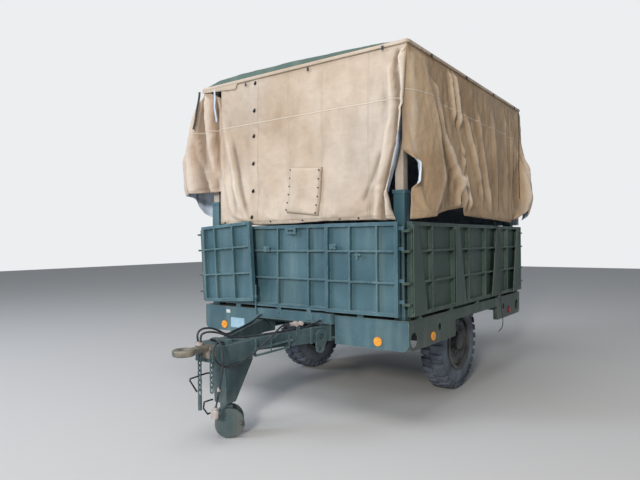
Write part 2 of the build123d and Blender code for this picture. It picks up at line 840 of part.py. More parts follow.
def drawbar():
    """The A-shaped drawbar: box head, two legs, their fittings and the brace for the support leg."""
    head = block((-head_width / 2, head_width / 2), (-head_front, -head_rear),
                 (head_bottom, head_top))
    head -= block((leg_thickness - head_width / 2, head_width / 2 - leg_thickness),
                  (-head_front + head_slot_front, -head_rear + 10), (head_bottom - 10, head_top + 10))
    outline = [(-12, leg_front[0]), (leg_run, leg_rear[0]), (leg_run, leg_rear[1]),
               (-12, leg_front[1])]
    face = make_face(leg_plane * Polyline(*outline, close=True))
    leg = extrude(face, amount=leg_thickness / 2, both=True)
    leg += block((leg_half_rear - leg_thickness / 2, leg_half_rear + leg_thickness / 2),
                 (-12, leg_end_y), leg_rear)
    leg += lifting_plate()
    band = Pos(band_place, (leg_rear[0] + leg_rear[1]) / 2) * Rectangle(
        2 * band_half, leg_rear[1] - leg_rear[0] + band_plate)
    leg += extrude(leg_face * band, amount=band_plate)
    body = Part() + head + both_sides(leg)
    stand_middle = (leg_rear[0] + 70 + hose_stand_top) / 2
    stand = Pos(hose_stand_place, stand_middle) * Rectangle(
        3 * band_half, hose_stand_top - leg_rear[0] - 70)
    body += extrude(leg_face * stand, amount=band_plate)
    body += block(*hose_block)
    for route in (air_hose_right, electric_cable[::-1]):
        body += gland(route[-2], route[-1], hose_block[1][0] + 10)
    body += block((-brace_half_width, brace_half_width), (-head_rear + 5, leg_pivot_y + 45), brace)
    for side in (-1, 1):
        near, far = sorted((side * ear_inner, side * ear_outer))
        ear = block((near, far), (leg_pivot_y - 25, leg_pivot_y + 25), (pivot_height, brace[0] + 15))
        ear += rod((near, leg_pivot_y, pivot_height), (far, leg_pivot_y, pivot_height), 25)
        body += ear
    body -= rod((-120, leg_pivot_y, pivot_height), (120, leg_pivot_y, pivot_height),
                pivot_radius + fit_gap)
    return body


tray_depth = 45
tray_sheet = 4
tray_start = 14
tray_end = 340
tray_floor = (head_bottom + 13, head_bottom + 49)
tray_rail = (head_bottom + 67, head_bottom + 106)
tray_posts = [tray_start, 158, 332]
tray_post_width = 8


def drawbar_tray():
    """The open tray hung on the outside of the right leg: floor, end plates, rail and posts."""
    def slope(limits, place):
        return limits[0] + (limits[1] - limits[0]) * (place - tray_start) / (tray_end - tray_start)

    def strip(heights, start, end, thickness):
        """An outline that follows the slope from start to end."""
        low = [(place, slope(heights, place)) for place in (start, end)]
        high = [(place, height + thickness) for place, height in reversed(low)]
        return make_face(Polyline(*low, *high, close=True))

    inner = leg_face.offset(fit_gap)
    outer = leg_face.offset(tray_depth - tray_post_width)
    tray = extrude(inner * strip(tray_floor, tray_start, tray_end, tray_sheet),
                   amount=tray_depth - fit_gap)
    tray += extrude(outer * strip(tray_floor, tray_start, tray_end, 18), amount=tray_post_width)
    tray += extrude(outer * strip(tray_rail, tray_start - 8, tray_end + 34, 14),
                    amount=tray_post_width)
    for place in (tray_start, tray_end - tray_sheet):
        low, high = slope(tray_floor, place), slope(tray_rail, place) + 14
        plate = Pos(place + tray_sheet / 2, (low + high) / 2) * Rectangle(tray_sheet, high - low)
        tray += extrude(inner * plate, amount=tray_depth - fit_gap)
    for place in tray_posts:
        low, high = slope(tray_floor, place), leg_front[1] + 6
        post = Pos(place + tray_post_width / 2, (low + high) / 2) * Rectangle(
            tray_post_width, high - low)
        tray += extrude(outer * post, amount=tray_post_width)
    return tray


# Safety chains
link_length = 58
link_width = 36
link_wire = 9
chain_pitch = link_length - 2 * link_wire - 1
chain_y = -head_front - 40
chain_rows = [  # x, number of links
    (-65, 10),
    (72, 9),
]
chain_pin = 6
chain_top = tow_eye_height + 5
sleeve_length = 118
sleeve_half = 16


def chain_link():
    """One link, lying along Z with its flat side to X, from flat facets."""
    def loop(length, width):
        cut = width * 0.3
        half_w, half_l = width / 2, length / 2
        return [(-half_w, cut - half_l), (cut - half_w, -half_l), (half_w - cut, -half_l),
                (half_w, cut - half_l), (half_w, half_l - cut), (half_w - cut, half_l),
                (cut - half_w, half_l), (-half_w, half_l - cut)]
    outer = along_y(loop(link_length, link_width), (-link_wire / 2, link_wire / 2))
    inner = along_y(loop(link_length - 2 * link_wire, link_width - 2 * link_wire),
                    (-link_wire, link_wire))
    return outer - inner


def safety_chains():
    """Two hanging chains; the left one ends in a round steel sleeve on its last link."""
    links = []
    top = chain_top + chain_pin + link_wire + fit_gap
    for x, count in chain_rows:
        for number in range(count):
            z = top - link_length / 2 - number * chain_pitch
            links.append(Pos(x, chain_y, z) * Rot(Z=90 * (number % 2)) * chain_link())
    x, count = chain_rows[0]
    low = top - link_length - (count - 1) * chain_pitch
    links[count - 1] += rod((x, chain_y, low + link_wire / 2),
                            (x, chain_y, low + link_wire / 2 - sleeve_length), sleeve_half)
    return links


flange_plate = 18
flange_width = 170
flange_height_z = 110


def tow_eye():
    """The forged tow eye with its shank and its flange on the drawbar head."""
    half = tow_eye_section / 2
    section = Rectangle(tow_eye_section, tow_eye_section)
    section = fillet(section.vertices(), half * 0.62)
    ring = revolve(Plane.XZ * Pos(tow_eye_bore + half, 0) * section, axis=Axis.Z)
    ring = Pos(0, -tow_eye_reach, tow_eye_height) * ring
    reach = tow_eye_bore + tow_eye_section
    shank = rod((0, -tow_eye_reach + reach - 12, tow_eye_height), (0, -head_front, tow_eye_height), 27)
    shank += Pos(0, -head_front - flange_plate / 2, head_top - 2 - flange_height_z / 2) * Box(
        flange_width, flange_plate, flange_height_z)
    for x, count in chain_rows:
        shank += rod((x, -head_front - flange_plate, chain_top), (x, chain_y - 12, chain_top), chain_pin)
        shank += rod((x, chain_y - 8, chain_top), (x, chain_y - 14, chain_top), 2 * chain_pin)
    return ring + shank


# Hose couplings and the cable's plug
coupling_radius = 32
neck_radius = 13
plug_shell = 17
plug_head = 29


def neck(route, length, radius=neck_radius):
    """A round neck that takes the first end of a hose squarely."""
    a, b = Vector(*route[0]), Vector(*route[1])
    back = (a - b).normalized() * length
    return rod(a, a + back, radius)


def coupling_front():
    """The round cast coupling that lies on the tow eye's shank and takes two hoses."""
    low = tow_eye_height + 27 + fit_gap
    disc = rod((-28, -1158, low), (-28, -1158, low + 16), coupling_radius)
    space = block((-100, 100), (-1300, -1000), (0, low))
    return disc + (neck(air_hose_left, 24) - space) + (neck(air_hose_middle, 24) - space)


def coupling_right():
    """The cast coupling with two claws that is hung on its stand beside the right leg."""
    body = neck(air_hose_right, 46, 15)
    middle = air_hose_right[0][2]
    for place, radius, depth in ((430, 22, 40), (482, 18, 32)):
        lobe = Pos(place, middle) * Circle(radius)
        body += extrude(leg_face.offset(-depth / 2) * lobe, amount=depth)
    web = Pos(450, middle) * Rectangle(70, 20)
    return body + extrude(leg_face.offset(-12) * web, amount=24)


def cable_plug():
    """The plug that hangs from the electric cable: a slim shell and a wide head."""
    a, b = Vector(*electric_cable[-2]), Vector(*electric_cable[-1])
    down = Vector(-0.12, 0, -1).normalized()
    along = (b - a).normalized()
    plug = rod(b, b + along * 34, plug_shell)
    start = b + along * 26
    return plug + rod(start, start + down * 62, plug_head)


# Support leg and caster

leg_bottom = 276
leg_knee = 590
leg_half = 70
leg_plate = 6
leg_top = head_bottom - fit_gap
leg_side = [  # y, z of the side plates
    (-985, leg_top), (leg_pivot_y + 50, leg_top), (leg_pivot_y + 50, leg_knee), (-858, leg_bottom),
    (-962, leg_bottom),
]
swivel_y = -910
swivel_radius = 20
swivel_wall = 14
swivel_top = leg_bottom + 55
yoke_half = 45
yoke_plate = (leg_bottom - 30, leg_bottom - 18)
caster_width = 36
caster_gap = 6
caster_cap = 8
caster_axle = 14
trail = 34
caster_turn = 136


def support_leg():
    """The folded-plate leg, open at the back, with its pivot pin and the caster's socket."""
    outer = along_x(leg_side, (-leg_half, leg_half))
    inner = [(-956, leg_bottom + leg_plate), (-979, leg_top - leg_plate),
             (leg_pivot_y + 100, leg_top - leg_plate), (leg_pivot_y + 100, leg_knee),
             (-850, leg_bottom + leg_plate)]
    body = outer - along_x(inner, (leg_plate - leg_half, leg_half - leg_plate))
    body += rod((0, swivel_y, leg_bottom), (0, swivel_y, swivel_top + 10),
                swivel_radius + swivel_wall)
    body -= rod((0, swivel_y, leg_bottom - 50), (0, swivel_y, swivel_top), swivel_radius + fit_gap)
    body += rod((-100, leg_pivot_y, pivot_height), (100, leg_pivot_y, pivot_height), pivot_radius)
    return body


def turned(shape):
    """A caster's piece, turned with its axle about the swivel."""
    return Pos(0, swivel_y, 0) * Rot(Z=caster_turn) * shape


def caster_yoke():
    """The swivel stem, its plate and the axle that trails it."""
    body = rod((0, 0, yoke_plate[0]), (0, 0, swivel_top - 5), swivel_radius)
    body += rod((0, 0, yoke_plate[0] + 8), (0, 0, leg_bottom - 4), 42)
    body += block((-yoke_half, yoke_half), (-trail - 24, 42), yoke_plate)
    middle = (yoke_plate[0] + yoke_plate[1]) / 2
    body += along_x([(42, middle), (-trail - 24, middle), (-trail - 24, caster_radius - 20),
                     (-trail + 24, caster_radius - 20)], (-yoke_half, yoke_half))
    reach = yoke_half + caster_gap + caster_width - caster_cap - 2
    body += rod((-reach, -trail, caster_radius), (reach, -trail, caster_radius), caster_axle)
    return turned(body)


def caster_wheels():
    """The pair of disc wheels on one axle."""
    near = yoke_half + caster_gap
    far = near + caster_width
    disc = rod((near, -trail, caster_radius), (far, -trail, caster_radius), caster_radius)
    disc = chamfer(disc.edges().filter_by(GeomType.CIRCLE), 5)
    disc -= rod((near - 1, -trail, caster_radius), (far - caster_cap, -trail, caster_radius),
                caster_axle + fit_gap)
    return [turned(wheel) for wheel in both_sides(disc)]


# Lamps and reflectors
reflector_radius = 40
reflector_depth = 12
reflector_height = skirt_bottom + 66


def reflector_on_end(x, y, depth):
    return rod((x, y, reflector_height), (x, y + depth, reflector_height), reflector_radius)


def reflector_on_side(y):
    return both_sides(rod((half_width, y, reflector_height + 8),
                          (half_width + reflector_depth, y, reflector_height + 8), reflector_radius))


def amber_reflectors():
    front = [reflector_on_end(x, 0, -reflector_depth) for x in (-930, 925)]
    return front + reflector_on_side(468)


def red_reflectors():
    rear = [reflector_on_end(x, body_length, reflector_depth) for x in (-930, 930)]
    return rear + reflector_on_side(body_length - 436)


# Everything in its place
origin = Pos(0, tow_eye_reach, -tow_eye_height)


def save(name, shape):
    """Write one node, moved so that the tow eye is the origin."""
    solids = []
    for item in (shape if isinstance(shape, list) else [shape]):
        solids += [origin * solid for solid in item.solids()]
    export_step(Compound(children=solids) if len(solids) > 1 else solids[0], f"parts/{name}.step")


save("chassis_frame", chassis_frame())
save("deck", deck())
save("wheel_housings", wheel_housings())
save("skirt_right", skirt_side())
save("skirt_left", mirror(skirt_side(), about=Plane.YZ))
save("skirt_front", skirt_end(0, front_beam_half + fit_gap))
save("skirt_rear", skirt_end(body_length - sheet, rear_gap))
save("corner_posts", outer_posts())
save("axle", axle())
save("springs", both_sides(spring()))
save("drawbar", drawbar())
save("drawbar_tray", drawbar_tray())
save("tow_eye", tow_eye())
save("hinge_forks", hinge_forks())
save("end_wall_front", end_wall())
save("end_wall_rear", at_end(end_wall(), 1))
save("amber_reflectors", amber_reflectors())
save("red_reflectors", red_reflectors())
save("safety_chains", safety_chains())

for name, shape in (("tyre", tyre()), ("rim", rim()), ("hub", hub())):
    left, right = wheel_set(shape)
    save(f"{name}_left", left)
    save(f"{name}_right", right)

wide_wall = platform_with_ears()
save("platform_right", wide_wall)
save("platform_left", left_side(wide_wall))
corner = corner_wall_front()
save("corner_wall_front_right", corner)
save("corner_wall_rear_right", at_end(corner, 1))
save("corner_wall_rear_left", left_side(at_end(corner, 1)))
column = Axis((column_x, -column_out, 0), (0, 0, 1))
save("corner_wall_front_left", left_side(corner.rotate(column, corner_ajar)))
for number, (y, side) in enumerate(gusset_rows, start=1):
    plate = gusset(y, side)
    save(f"gusset_right_{number}", plate)
    save(f"gusset_left_{number}", left_side(plate))

save("support_leg", support_leg())
save("caster_yoke", caster_yoke())
save("caster_wheels", caster_wheels())
save("roof", roof())
save("roof_posts", inner_posts())
save("canvas_front", canvas_end((-canvas - fit_gap, -fit_gap)))
save("canvas_rear", canvas_end((body_length + fit_gap, body_length + canvas + fit_gap)))
save("canvas_right", canvas_with_bag(bag_right, bag_right_y))
save("canvas_left", mirror(canvas_with_bag(bag_left, bag_left_y), about=Plane.YZ))

save("air_hose_right", cord("air_hose_right", air_hose_right, hose))
save("air_hose_left", cord("air_hose_left", air_hose_left, hose))
save("air_hose_middle", cord("air_hose_middle", air_hose_middle, hose))
save("electric_cable", cord("electric_cable", electric_cable, cable))
save("tie_rope", cord("tie_rope", tie_rope, rope))
save("coupling_front", coupling_front())
save("coupling_right", coupling_right())
save("cable_plug", cable_plug())
save("beam_pipe", beam_pipe())
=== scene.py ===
import math

import bmesh
import bpy
import numpy as np
from mathutils import Matrix, Vector, noise
from mathutils.bvhtree import BVHTree


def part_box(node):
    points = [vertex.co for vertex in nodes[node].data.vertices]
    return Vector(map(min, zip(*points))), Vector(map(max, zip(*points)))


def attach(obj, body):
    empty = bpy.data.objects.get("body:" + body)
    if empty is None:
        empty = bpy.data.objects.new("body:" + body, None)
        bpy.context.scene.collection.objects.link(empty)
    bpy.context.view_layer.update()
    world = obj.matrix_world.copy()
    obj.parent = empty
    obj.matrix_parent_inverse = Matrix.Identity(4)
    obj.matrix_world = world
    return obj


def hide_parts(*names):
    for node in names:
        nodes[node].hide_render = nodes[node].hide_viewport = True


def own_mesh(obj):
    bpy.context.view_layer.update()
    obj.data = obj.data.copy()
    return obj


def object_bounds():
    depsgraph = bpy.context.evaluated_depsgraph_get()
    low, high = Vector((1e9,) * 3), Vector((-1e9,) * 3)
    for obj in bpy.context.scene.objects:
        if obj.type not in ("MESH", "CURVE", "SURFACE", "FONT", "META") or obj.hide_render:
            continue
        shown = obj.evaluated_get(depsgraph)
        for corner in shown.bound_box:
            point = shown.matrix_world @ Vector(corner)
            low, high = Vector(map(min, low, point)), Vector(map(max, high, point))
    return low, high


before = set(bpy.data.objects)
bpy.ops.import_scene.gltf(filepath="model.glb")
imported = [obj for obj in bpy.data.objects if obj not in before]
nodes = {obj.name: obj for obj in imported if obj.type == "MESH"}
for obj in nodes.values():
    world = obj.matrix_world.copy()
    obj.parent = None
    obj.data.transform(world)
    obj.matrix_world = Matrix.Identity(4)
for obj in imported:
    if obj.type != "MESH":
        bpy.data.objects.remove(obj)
cad_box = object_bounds()
scene = bpy.context.scene

# Camera
# It stands at eye height in front of the trailer and to its right, and looks level, so that the
# drawbar, the front walls and the whole right side show.
camera_place = (3.293, -2.7692, 0.8429)
camera_yaw, camera_pitch, camera_roll = 0.6266, 0.0013, -0.0087
camera_data = bpy.data.cameras.new("camera")
camera_data.sensor_width = 36.0
camera_data.lens = 30.873
camera_data.clip_end = 60.0
camera = bpy.data.objects.new("camera", camera_data)
camera.matrix_world = (
    Matrix.Translation(camera_place)
    @ Matrix.Rotation(camera_yaw, 4, "Z")
    @ Matrix.Rotation(math.pi / 2 + camera_pitch, 4, "X")
    @ Matrix.Rotation(camera_roll, 4, "Z")
)
scene.collection.objects.link(camera)
scene.camera = camera
scene.view_settings.view_transform = "Standard"

# Cords
# Three rubber air hoses, the electric cable in its rubber sheath and a twisted tie rope. The hoses
# loop out of their cast couplings and lie back along the drawbar's legs; the rope hangs free.
FLOOR = -0.750
BODY_FRONT = 1.340


def at(x, y, z):
    """A place in millimetres from the body's front face and the ground, in the row frame."""
    return Vector((x / 1000, y / 1000 + BODY_FRONT, z / 1000 + FLOOR))


def linear(colour):
    """A colour written as sRGB hex, as the linear values that a socket takes."""
    values = [int(colour[start:start + 2], 16) / 255 for start in (1, 3, 5)]
    return [v / 12.92 if v <= 0.04045 else ((v + 0.055) / 1.055) ** 2.4 for v in values] + [1.0]


def add(tree, kind, sockets=(), **settings):
    """Adds one node; an input gets a value, or is linked to an output or a node's first output."""
    made = tree.nodes.new(kind)
    for name, value in settings.items():
        setattr(made, name, value)
    for name, value in dict(sockets).items():
        if isinstance(value, bpy.types.Node):
            value = value.outputs[0]
        if isinstance(value, bpy.types.NodeSocket):
            tree.links.new(value, made.inputs[name])
        else:
            made.inputs[name].default_value = linear(value) if isinstance(value, str) else value
    return made


def new_material(name, roughness, metallic=0.0):
    """A material with one shader; it gives back the material, its tree and the shader."""
    made = bpy.data.materials.new(name)
    made.use_nodes = True
    shader = made.node_tree.nodes["Principled BSDF"]
    shader.inputs["Roughness"].default_value = roughness
    shader.inputs["Metallic"].default_value = metallic
    return made, made.node_tree, shader


def clouded(tree, place, body, other, spots, low, high, share=1.0, detail=5.0, stretch=(1, 1, 1)):
    """Lays clouds of another colour on a body colour; it gives back the colour and the clouds.

    A metre holds so many spots, times the stretch along each axis, so 20 of them are 50 mm wide.
    The noise from low to high becomes the clouds' edge, and share says how strongly they cover.
    """
    spread = add(tree, "ShaderNodeMapping", {"Vector": place, "Scale": stretch})
    uneven = add(tree, "ShaderNodeTexNoise", {"Vector": spread, "Scale": spots, "Detail": detail})
    cloud = add(tree, "ShaderNodeMapRange", {"Value": uneven, "From Min": low, "From Max": high})
    cover = add(tree, "ShaderNodeMath", {0: cloud, 1: share}, operation="MULTIPLY")
    laid = add(tree, "ShaderNodeMix", {0: cover, 6: body, 7: other}, data_type="RGBA")
    return laid.outputs[2], cloud.outputs[0]


def matt(name, colour, other, roughness, spots=12.0, metallic=0.0, grain=0.2):
    """A dull material that wanders between two colours, with a fine grain 6 mm wide."""
    made, tree, shader = new_material(name, roughness, metallic)
    place = add(tree, "ShaderNodeTexCoord").outputs["Object"]
    body, _ = clouded(tree, place, colour, other, spots, 0.35, 0.65)
    tree.links.new(body, shader.inputs["Base Color"])
    grains = add(tree, "ShaderNodeTexNoise", {"Vector": place, "Scale": 160.0, "Detail": 3.0})
    bump = add(tree, "ShaderNodeBump", {"Height": grains, "Strength": grain, "Distance": 0.001})
    tree.links.new(bump.outputs[0], shader.inputs["Normal"])
    return made


def keep(name, mesh, material, body, smooth=False):
    """A piece at the origin, with its material, on its body."""
    piece = bpy.data.objects.new(name, mesh)
    scene.collection.objects.link(piece)
    mesh.materials.clear()
    mesh.materials.append(material)
    for face in mesh.polygons:
        face.use_smooth = smooth
    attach(piece, body)
    return piece


def plain_mesh(source, name):
    """What an object shows, modifiers and bevel included, as one plain mesh; the object goes."""
    bpy.context.view_layer.update()
    seen = source.evaluated_get(bpy.context.evaluated_depsgraph_get())
    mesh = bpy.data.meshes.new_from_object(seen)
    mesh.name = name
    bpy.data.objects.remove(source)
    return mesh


def route_curve(name, route, diameter):
    """A curve whose line is the route's spline, with no thickness where the diameter is 0."""
    curve = bpy.data.curves.new(name, "CURVE")
    curve.dimensions = "3D"
    curve.bevel_depth = diameter / 2000
    curve.bevel_resolution = 3
    curve.use_fill_caps = True
    spline = curve.splines.new("NURBS")
    spline.points.add(len(route) - 1)
    for point, place in zip(spline.points, route):
        point.co = (*at(*place), 1)
    spline.order_u = 3
    spline.use_endpoint_u = True
    spline.resolution_u = 8
    piece = bpy.data.objects.new(name, curve)
    scene.collection.objects.link(piece)
    return piece


# Black rubber hose, rubbed grey where it lies on steel: a soft broad sheen along its upper side.
hose_rubber = matt("hose_rubber", "#1F2226", "#3A4046", 0.55, 20.0)
# Twisted fibre dark with grease: nearly black and hairy, with no highlight at all.
tie_rope = matt("tie_rope", "#262521", "#4A463C", 0.85, 40.0, grain=0.6)

# Each cord has its route and its diameter in millimetres, its length in metres, what its far end
# is, and the fitting that goes with it.
routes = {
    "air_hose_right": ([
        (288, -413, 870), (267, -469, 870), (290, -552, 862), (296, -634, 817), (266, -726, 752),
        (232, -802, 690), (206, -880, 641), (193, -968, 611), (190, -1058, 606), (188, -1145, 634),
        (178, -1200, 703), (168, -1198, 765), (152, -1150, 806), (130, -1092, 803), (119, -1038, 797),
    ], 17, 1.149, "object", "coupling_right"),
    "air_hose_left": ([
        (-42, -1160, 805), (-42, -1172, 852), (-41, -1150, 888), (-39, -1098, 902), (-37, -1022, 893),
        (-35, -945, 862), (-52, -868, 825), (-95, -790, 804), (-150, -690, 800), (-195, -572, 806),
        (-239, -455, 811), (-286, -325, 818), (-333, -197, 827), (-360, -72, 870),
    ], 17, 1.251, "object", "coupling_front"),
    "air_hose_middle": ([
        (-8, -1160, 802), (-7, -1170, 845), (2, -1146, 874), (24, -1086, 878), (46, -1010, 858),
        (68, -930, 822), (94, -845, 800), (128, -748, 800), (165, -645, 803), (203, -553, 808),
        (245, -440, 812), (291, -312, 820), (335, -190, 830), (366, -72, 870),
    ], 17, 1.231, "object", None),
    "electric_cable": ([
        (28, -1038, 798), (30, -1085, 806), (62, -1130, 828), (125, -1142, 842), (184, -1128, 806),
        (212, -1136, 724), (213, -1137, 627), (188, -1132, 534), (160, -1128, 448), (137, -1124, 368),
        (113, -1122, 300),
    ], 14, 0.758, "plug", "cable_plug"),
    "tie_rope": ([
        (1234.5, 2110, 1790), (1262, 2112, 1750), (1276, 2134, 1695), (1277, 2178, 1620),
        (1276, 2203, 1520), (1277, 2199, 1400), (1276, 2190, 1275), (1277, 2187, 1150),
        (1276, 2192, 1025), (1277, 2206, 900), (1276, 2228, 785), (1277, 2262, 690), (1276, 2276, 622),
        (1277, 2240, 578), (1276, 2176, 558), (1277, 2112, 548),
    ], 9, 1.389, "knot", None),
}
for name, (route, diameter, length, far_end, fitting) in routes.items():
    is_rope = name == "tie_rope"
    line = [v.co.copy() for v in plain_mesh(route_curve(name + "_line", route, 0), name + "_line").vertices]
    tube = plain_mesh(route_curve(name + "_tube", route, diameter), name)
    piece = keep(name + "_cord", tube, tie_rope if is_rope else hose_rubber, "chassis", True)
    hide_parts(name)
    if is_rope:
        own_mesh(piece)

# Floor and light
# A plain pale floor in a pale room. A cool window lights the front left and another the roof, and
# a narrow one at the front right grazes the canvas, so that its folds throw shadows.
floor_half = 30.0
floor_mesh = bpy.data.meshes.new("floor")
floor_mesh.from_pydata([(-floor_half, -floor_half, FLOOR), (floor_half, -floor_half, FLOOR),
                        (floor_half, floor_half, FLOOR), (-floor_half, floor_half, FLOOR)],
                       [], [(0, 1, 2, 3)])
floor = bpy.data.objects.new("floor", floor_mesh)
scene.collection.objects.link(floor)
# Dusty pale concrete: even and without shine, so that it only shows the trailer's shadow.
pale_floor, _, floor_shader = new_material("pale_floor", 0.85)
floor_shader.inputs["Base Color"].default_value = linear("#D3CFCA")
floor_mesh.materials.append(pale_floor)

world = bpy.data.worlds.new("room")
scene.world = world
world.use_nodes = True
sky = world.node_tree
sky.nodes.clear()
rays = add(sky, "ShaderNodeLightPath")
room_light = add(sky, "ShaderNodeBackground", {"Color": "#DCE6F2", "Strength": 0.36})
room_seen = add(sky, "ShaderNodeBackground", {"Color": "#ECEEF0", "Strength": 1.0})
room_mix = add(sky, "ShaderNodeMixShader", {0: rays.outputs["Is Camera Ray"], 1: room_light, 2: room_seen})
add(sky, "ShaderNodeOutputWorld", {"Surface": room_mix})
lamps = [  # name, place, watts, size, colour
    ("front_window", (-8.0, -7.0, 6.0), 620, 4.0, "#DCEBFF"),
    ("roof_window", (0.5, -2.0, 11.0), 520, 6.0, "#F4F8FF"),
    ("side_window", (5.4, -12.0, 5.0), 1250, 1.6, "#FBF6F0"),
]
middle = (cad_box[0] + cad_box[1]) / 2
for name, place, watts, size, colour in lamps:
    lamp_data = bpy.data.lights.new(name, "AREA")
    lamp_data.energy = watts
    lamp_data.size = size
    lamp_data.color = linear(colour)[:3]
    lamp = bpy.data.objects.new(name, lamp_data)
    lamp.location = place
    lamp.rotation_euler = (middle - Vector(place)).to_track_quat("-Z", "Y").to_euler()
    scene.collection.objects.link(lamp)

# Underframe
# The axle, its leaf springs and the housings over the wheels: forged and rolled steel, bolted or
# welded under the floor and painted with it.


def paint(name, colour, faded, wear_and_highlight, roughness, dusty=0.35, dust="#A79F90"):
    """Old military paint: it fades in broad clouds, wears along its edges, where a painted highlight lies
    too, and holds dust below.
    """
    made, tree, shader = new_material(name, roughness)
    place = add(tree, "ShaderNodeTexCoord").outputs["Object"]
    normal = add(tree, "ShaderNodeNewGeometry").outputs["Normal"]
    # The sun fades it in clouds half a metre wide, and rain leaves upright streaks 140 mm apart.
    body, cloud = clouded(tree, place, colour, faded, 2.2, 0.38, 0.68)
    body, _ = clouded(tree, place, body, wear_and_highlight, 7.0, 0.48, 0.75, 0.3, 4.0, (1, 1, 0.12))
    # Within 6 mm of an edge the coat is paler, in patches 36 mm long: partly rubbed away, partly a painted
    # highlight on the edges.
    rounded = add(tree, "ShaderNodeBevel", {"Radius": 0.006}, samples=4)
    same = add(tree, "ShaderNodeVectorMath", {0: normal, 1: rounded}, operation="DOT_PRODUCT")
    edge = add(tree, "ShaderNodeMapRange", {"Value": same.outputs["Value"], "From Min": 0.985,
                                            "From Max": 0.90, "To Max": 0.8})
    body, _ = clouded(tree, place, body, wear_and_highlight, 28.0, 0.34, 0.56, edge, 3.0)
    # Chips 3 to 5 mm wide, one in every few 13 mm spots, show the pale primer.
    body, _ = clouded(tree, place, body, "#B9BDB6", 75.0, 0.735, 0.76, 0.7, 2.0)
    # Dirt splashes up from the road in 200 mm blots, and dust settles on what faces up.
    height = add(tree, "ShaderNodeSeparateXYZ", {0: place}).outputs["Z"]
    below = add(tree, "ShaderNodeMapRange", {"Value": height, "From Min": 0.25, "From Max": -0.55})
    uneven = add(tree, "ShaderNodeTexNoise", {"Vector": place, "Scale": 5.0, "Detail": 5.0})
    splash = add(tree, "ShaderNodeMapRange", {"Value": uneven, "From Min": 0.35, "From Max": 0.75})
    splashed = add(tree, "ShaderNodeMath", {0: below, 1: splash}, operation="MULTIPLY")
    up = add(tree, "ShaderNodeSeparateXYZ", {0: normal}).outputs["Z"]
    settled = add(tree, "ShaderNodeMapRange", {"Value": up, "From Min": 0.3, "From Max": 0.95,
                                               "To Max": 0.6})
    dirt = add(tree, "ShaderNodeMath", {0: splashed, 1: settled}, operation="MAXIMUM")
    share = add(tree, "ShaderNodeMath", {0: dirt, 1: dusty}, operation="MULTIPLY")
    dusted = add(tree, "ShaderNodeMix", {0: share, 6: body, 7: dust}, data_type="RGBA")
    tree.links.new(dusted.outputs[2], shader.inputs["Base Color"])
    rough = add(tree, "ShaderNodeMapRange", {"Value": cloud, "To Min": roughness - 0.08,
                                             "To Max": roughness + 0.12})
    tree.links.new(rough.outputs[0], shader.inputs["Roughness"])
    # Brush marks 22 mm wide, coarser than the bristles left them, so that they show.
    brushed = add(tree, "ShaderNodeTexNoise", {"Vector": place, "Scale": 45.0, "Detail": 4.0})
    bump = add(tree, "ShaderNodeBump", {"Height": brushed, "Strength": 0.12, "Distance": 0.002})
    tree.links.new(bump.outputs[0], shader.inputs["Normal"])
    return made


def finish_node(name, material, edge=0.002):
    """Gives a CAD node its material, with its edges broken by a small bevel."""
    piece = nodes[name]
    piece.data.materials.clear()
    piece.data.materials.append(material)
    weld = piece.modifiers.new("weld", "WELD")
    weld.merge_threshold = 0.00002
    flat = piece.modifiers.new("flat_faces", "DECIMATE")
    flat.decimate_type = "DISSOLVE"
    flat.angle_limit = math.radians(0.4)
    bevel = piece.modifiers.new("bevel", "BEVEL")
    bevel.width = edge
    bevel.segments = 2
    bevel.limit_method = "ANGLE"
    bevel.angle_limit = math.radians(40)
    piece.modifiers.new("normals", "WEIGHTED_NORMAL")
    for face in piece.data.polygons:
        face.use_smooth = True


# Green paint dulled by road dirt to brown, and painted dark as the shade below the body, so that it stays
# back there.
shaded_underframe_paint = paint("shaded_underframe_paint", "#2E3833", "#3C4740", "#59635A", 0.6, 0.4)
for name in ("axle", "springs", "wheel_housings"):
    finish_node(name, shaded_underframe_paint)

# Wheels
# Cross-lugged rubber tyres on dished steel discs, pressed and painted. Eight nuts on a bolt circle
# hold each disc to its hub.
nut_count, nut_circle, nut_radius, nut_high = 8, 112, 15, 20
axle_y, axle_z, disc_face = 1535, 500, 993


def repeated(name, places, radius, depth, turn, material, body, sides=6):
    """One small cylinder at each place, all turned alike, set out by geometry nodes."""
    tree = bpy.data.node_groups.new(name, "GeometryNodeTree")
    face = tree.interface
    face.new_socket("Geometry", in_out="INPUT", socket_type="NodeSocketGeometry")
    sockets = {}
    for label, kind in (("Radius", "NodeSocketFloat"), ("Depth", "NodeSocketFloat"),
                        ("Turn", "NodeSocketVector"), ("Sides", "NodeSocketInt"),
                        ("Material", "NodeSocketMaterial")):
        sockets[label] = face.new_socket(label, in_out="INPUT", socket_type=kind).identifier
    face.new_socket("Geometry", in_out="OUTPUT", socket_type="NodeSocketGeometry")
    given = add(tree, "NodeGroupInput").outputs
    points = add(tree, "GeometryNodeMeshToPoints", {"Mesh": given["Geometry"]})
    shape = add(tree, "GeometryNodeMeshCylinder", {"Vertices": given["Sides"], "Radius": given["Radius"],
                                                   "Depth": given["Depth"]})
    spread = add(tree, "GeometryNodeInstanceOnPoints", {"Points": points, "Instance": shape,
                                                        "Rotation": given["Turn"]})
    real = add(tree, "GeometryNodeRealizeInstances", {"Geometry": spread})
    dressed = add(tree, "GeometryNodeSetMaterial", {"Geometry": real, "Material": given["Material"]})
    add(tree, "NodeGroupOutput", {"Geometry": dressed})
    mesh = bpy.data.meshes.new(name)
    mesh.from_pydata([at(*place) for place in places], [], [])
    holder = bpy.data.objects.new(name, mesh)
    scene.collection.objects.link(holder)
    made = holder.modifiers.new("repeat", "NODES")
    made.node_group = tree
    for label, value in (("Radius", radius / 1000), ("Depth", depth / 1000), ("Turn", turn),
                         ("Sides", sides), ("Material", material)):
        made[sockets[label]] = value
    return keep(name, plain_mesh(holder, name), material, body)
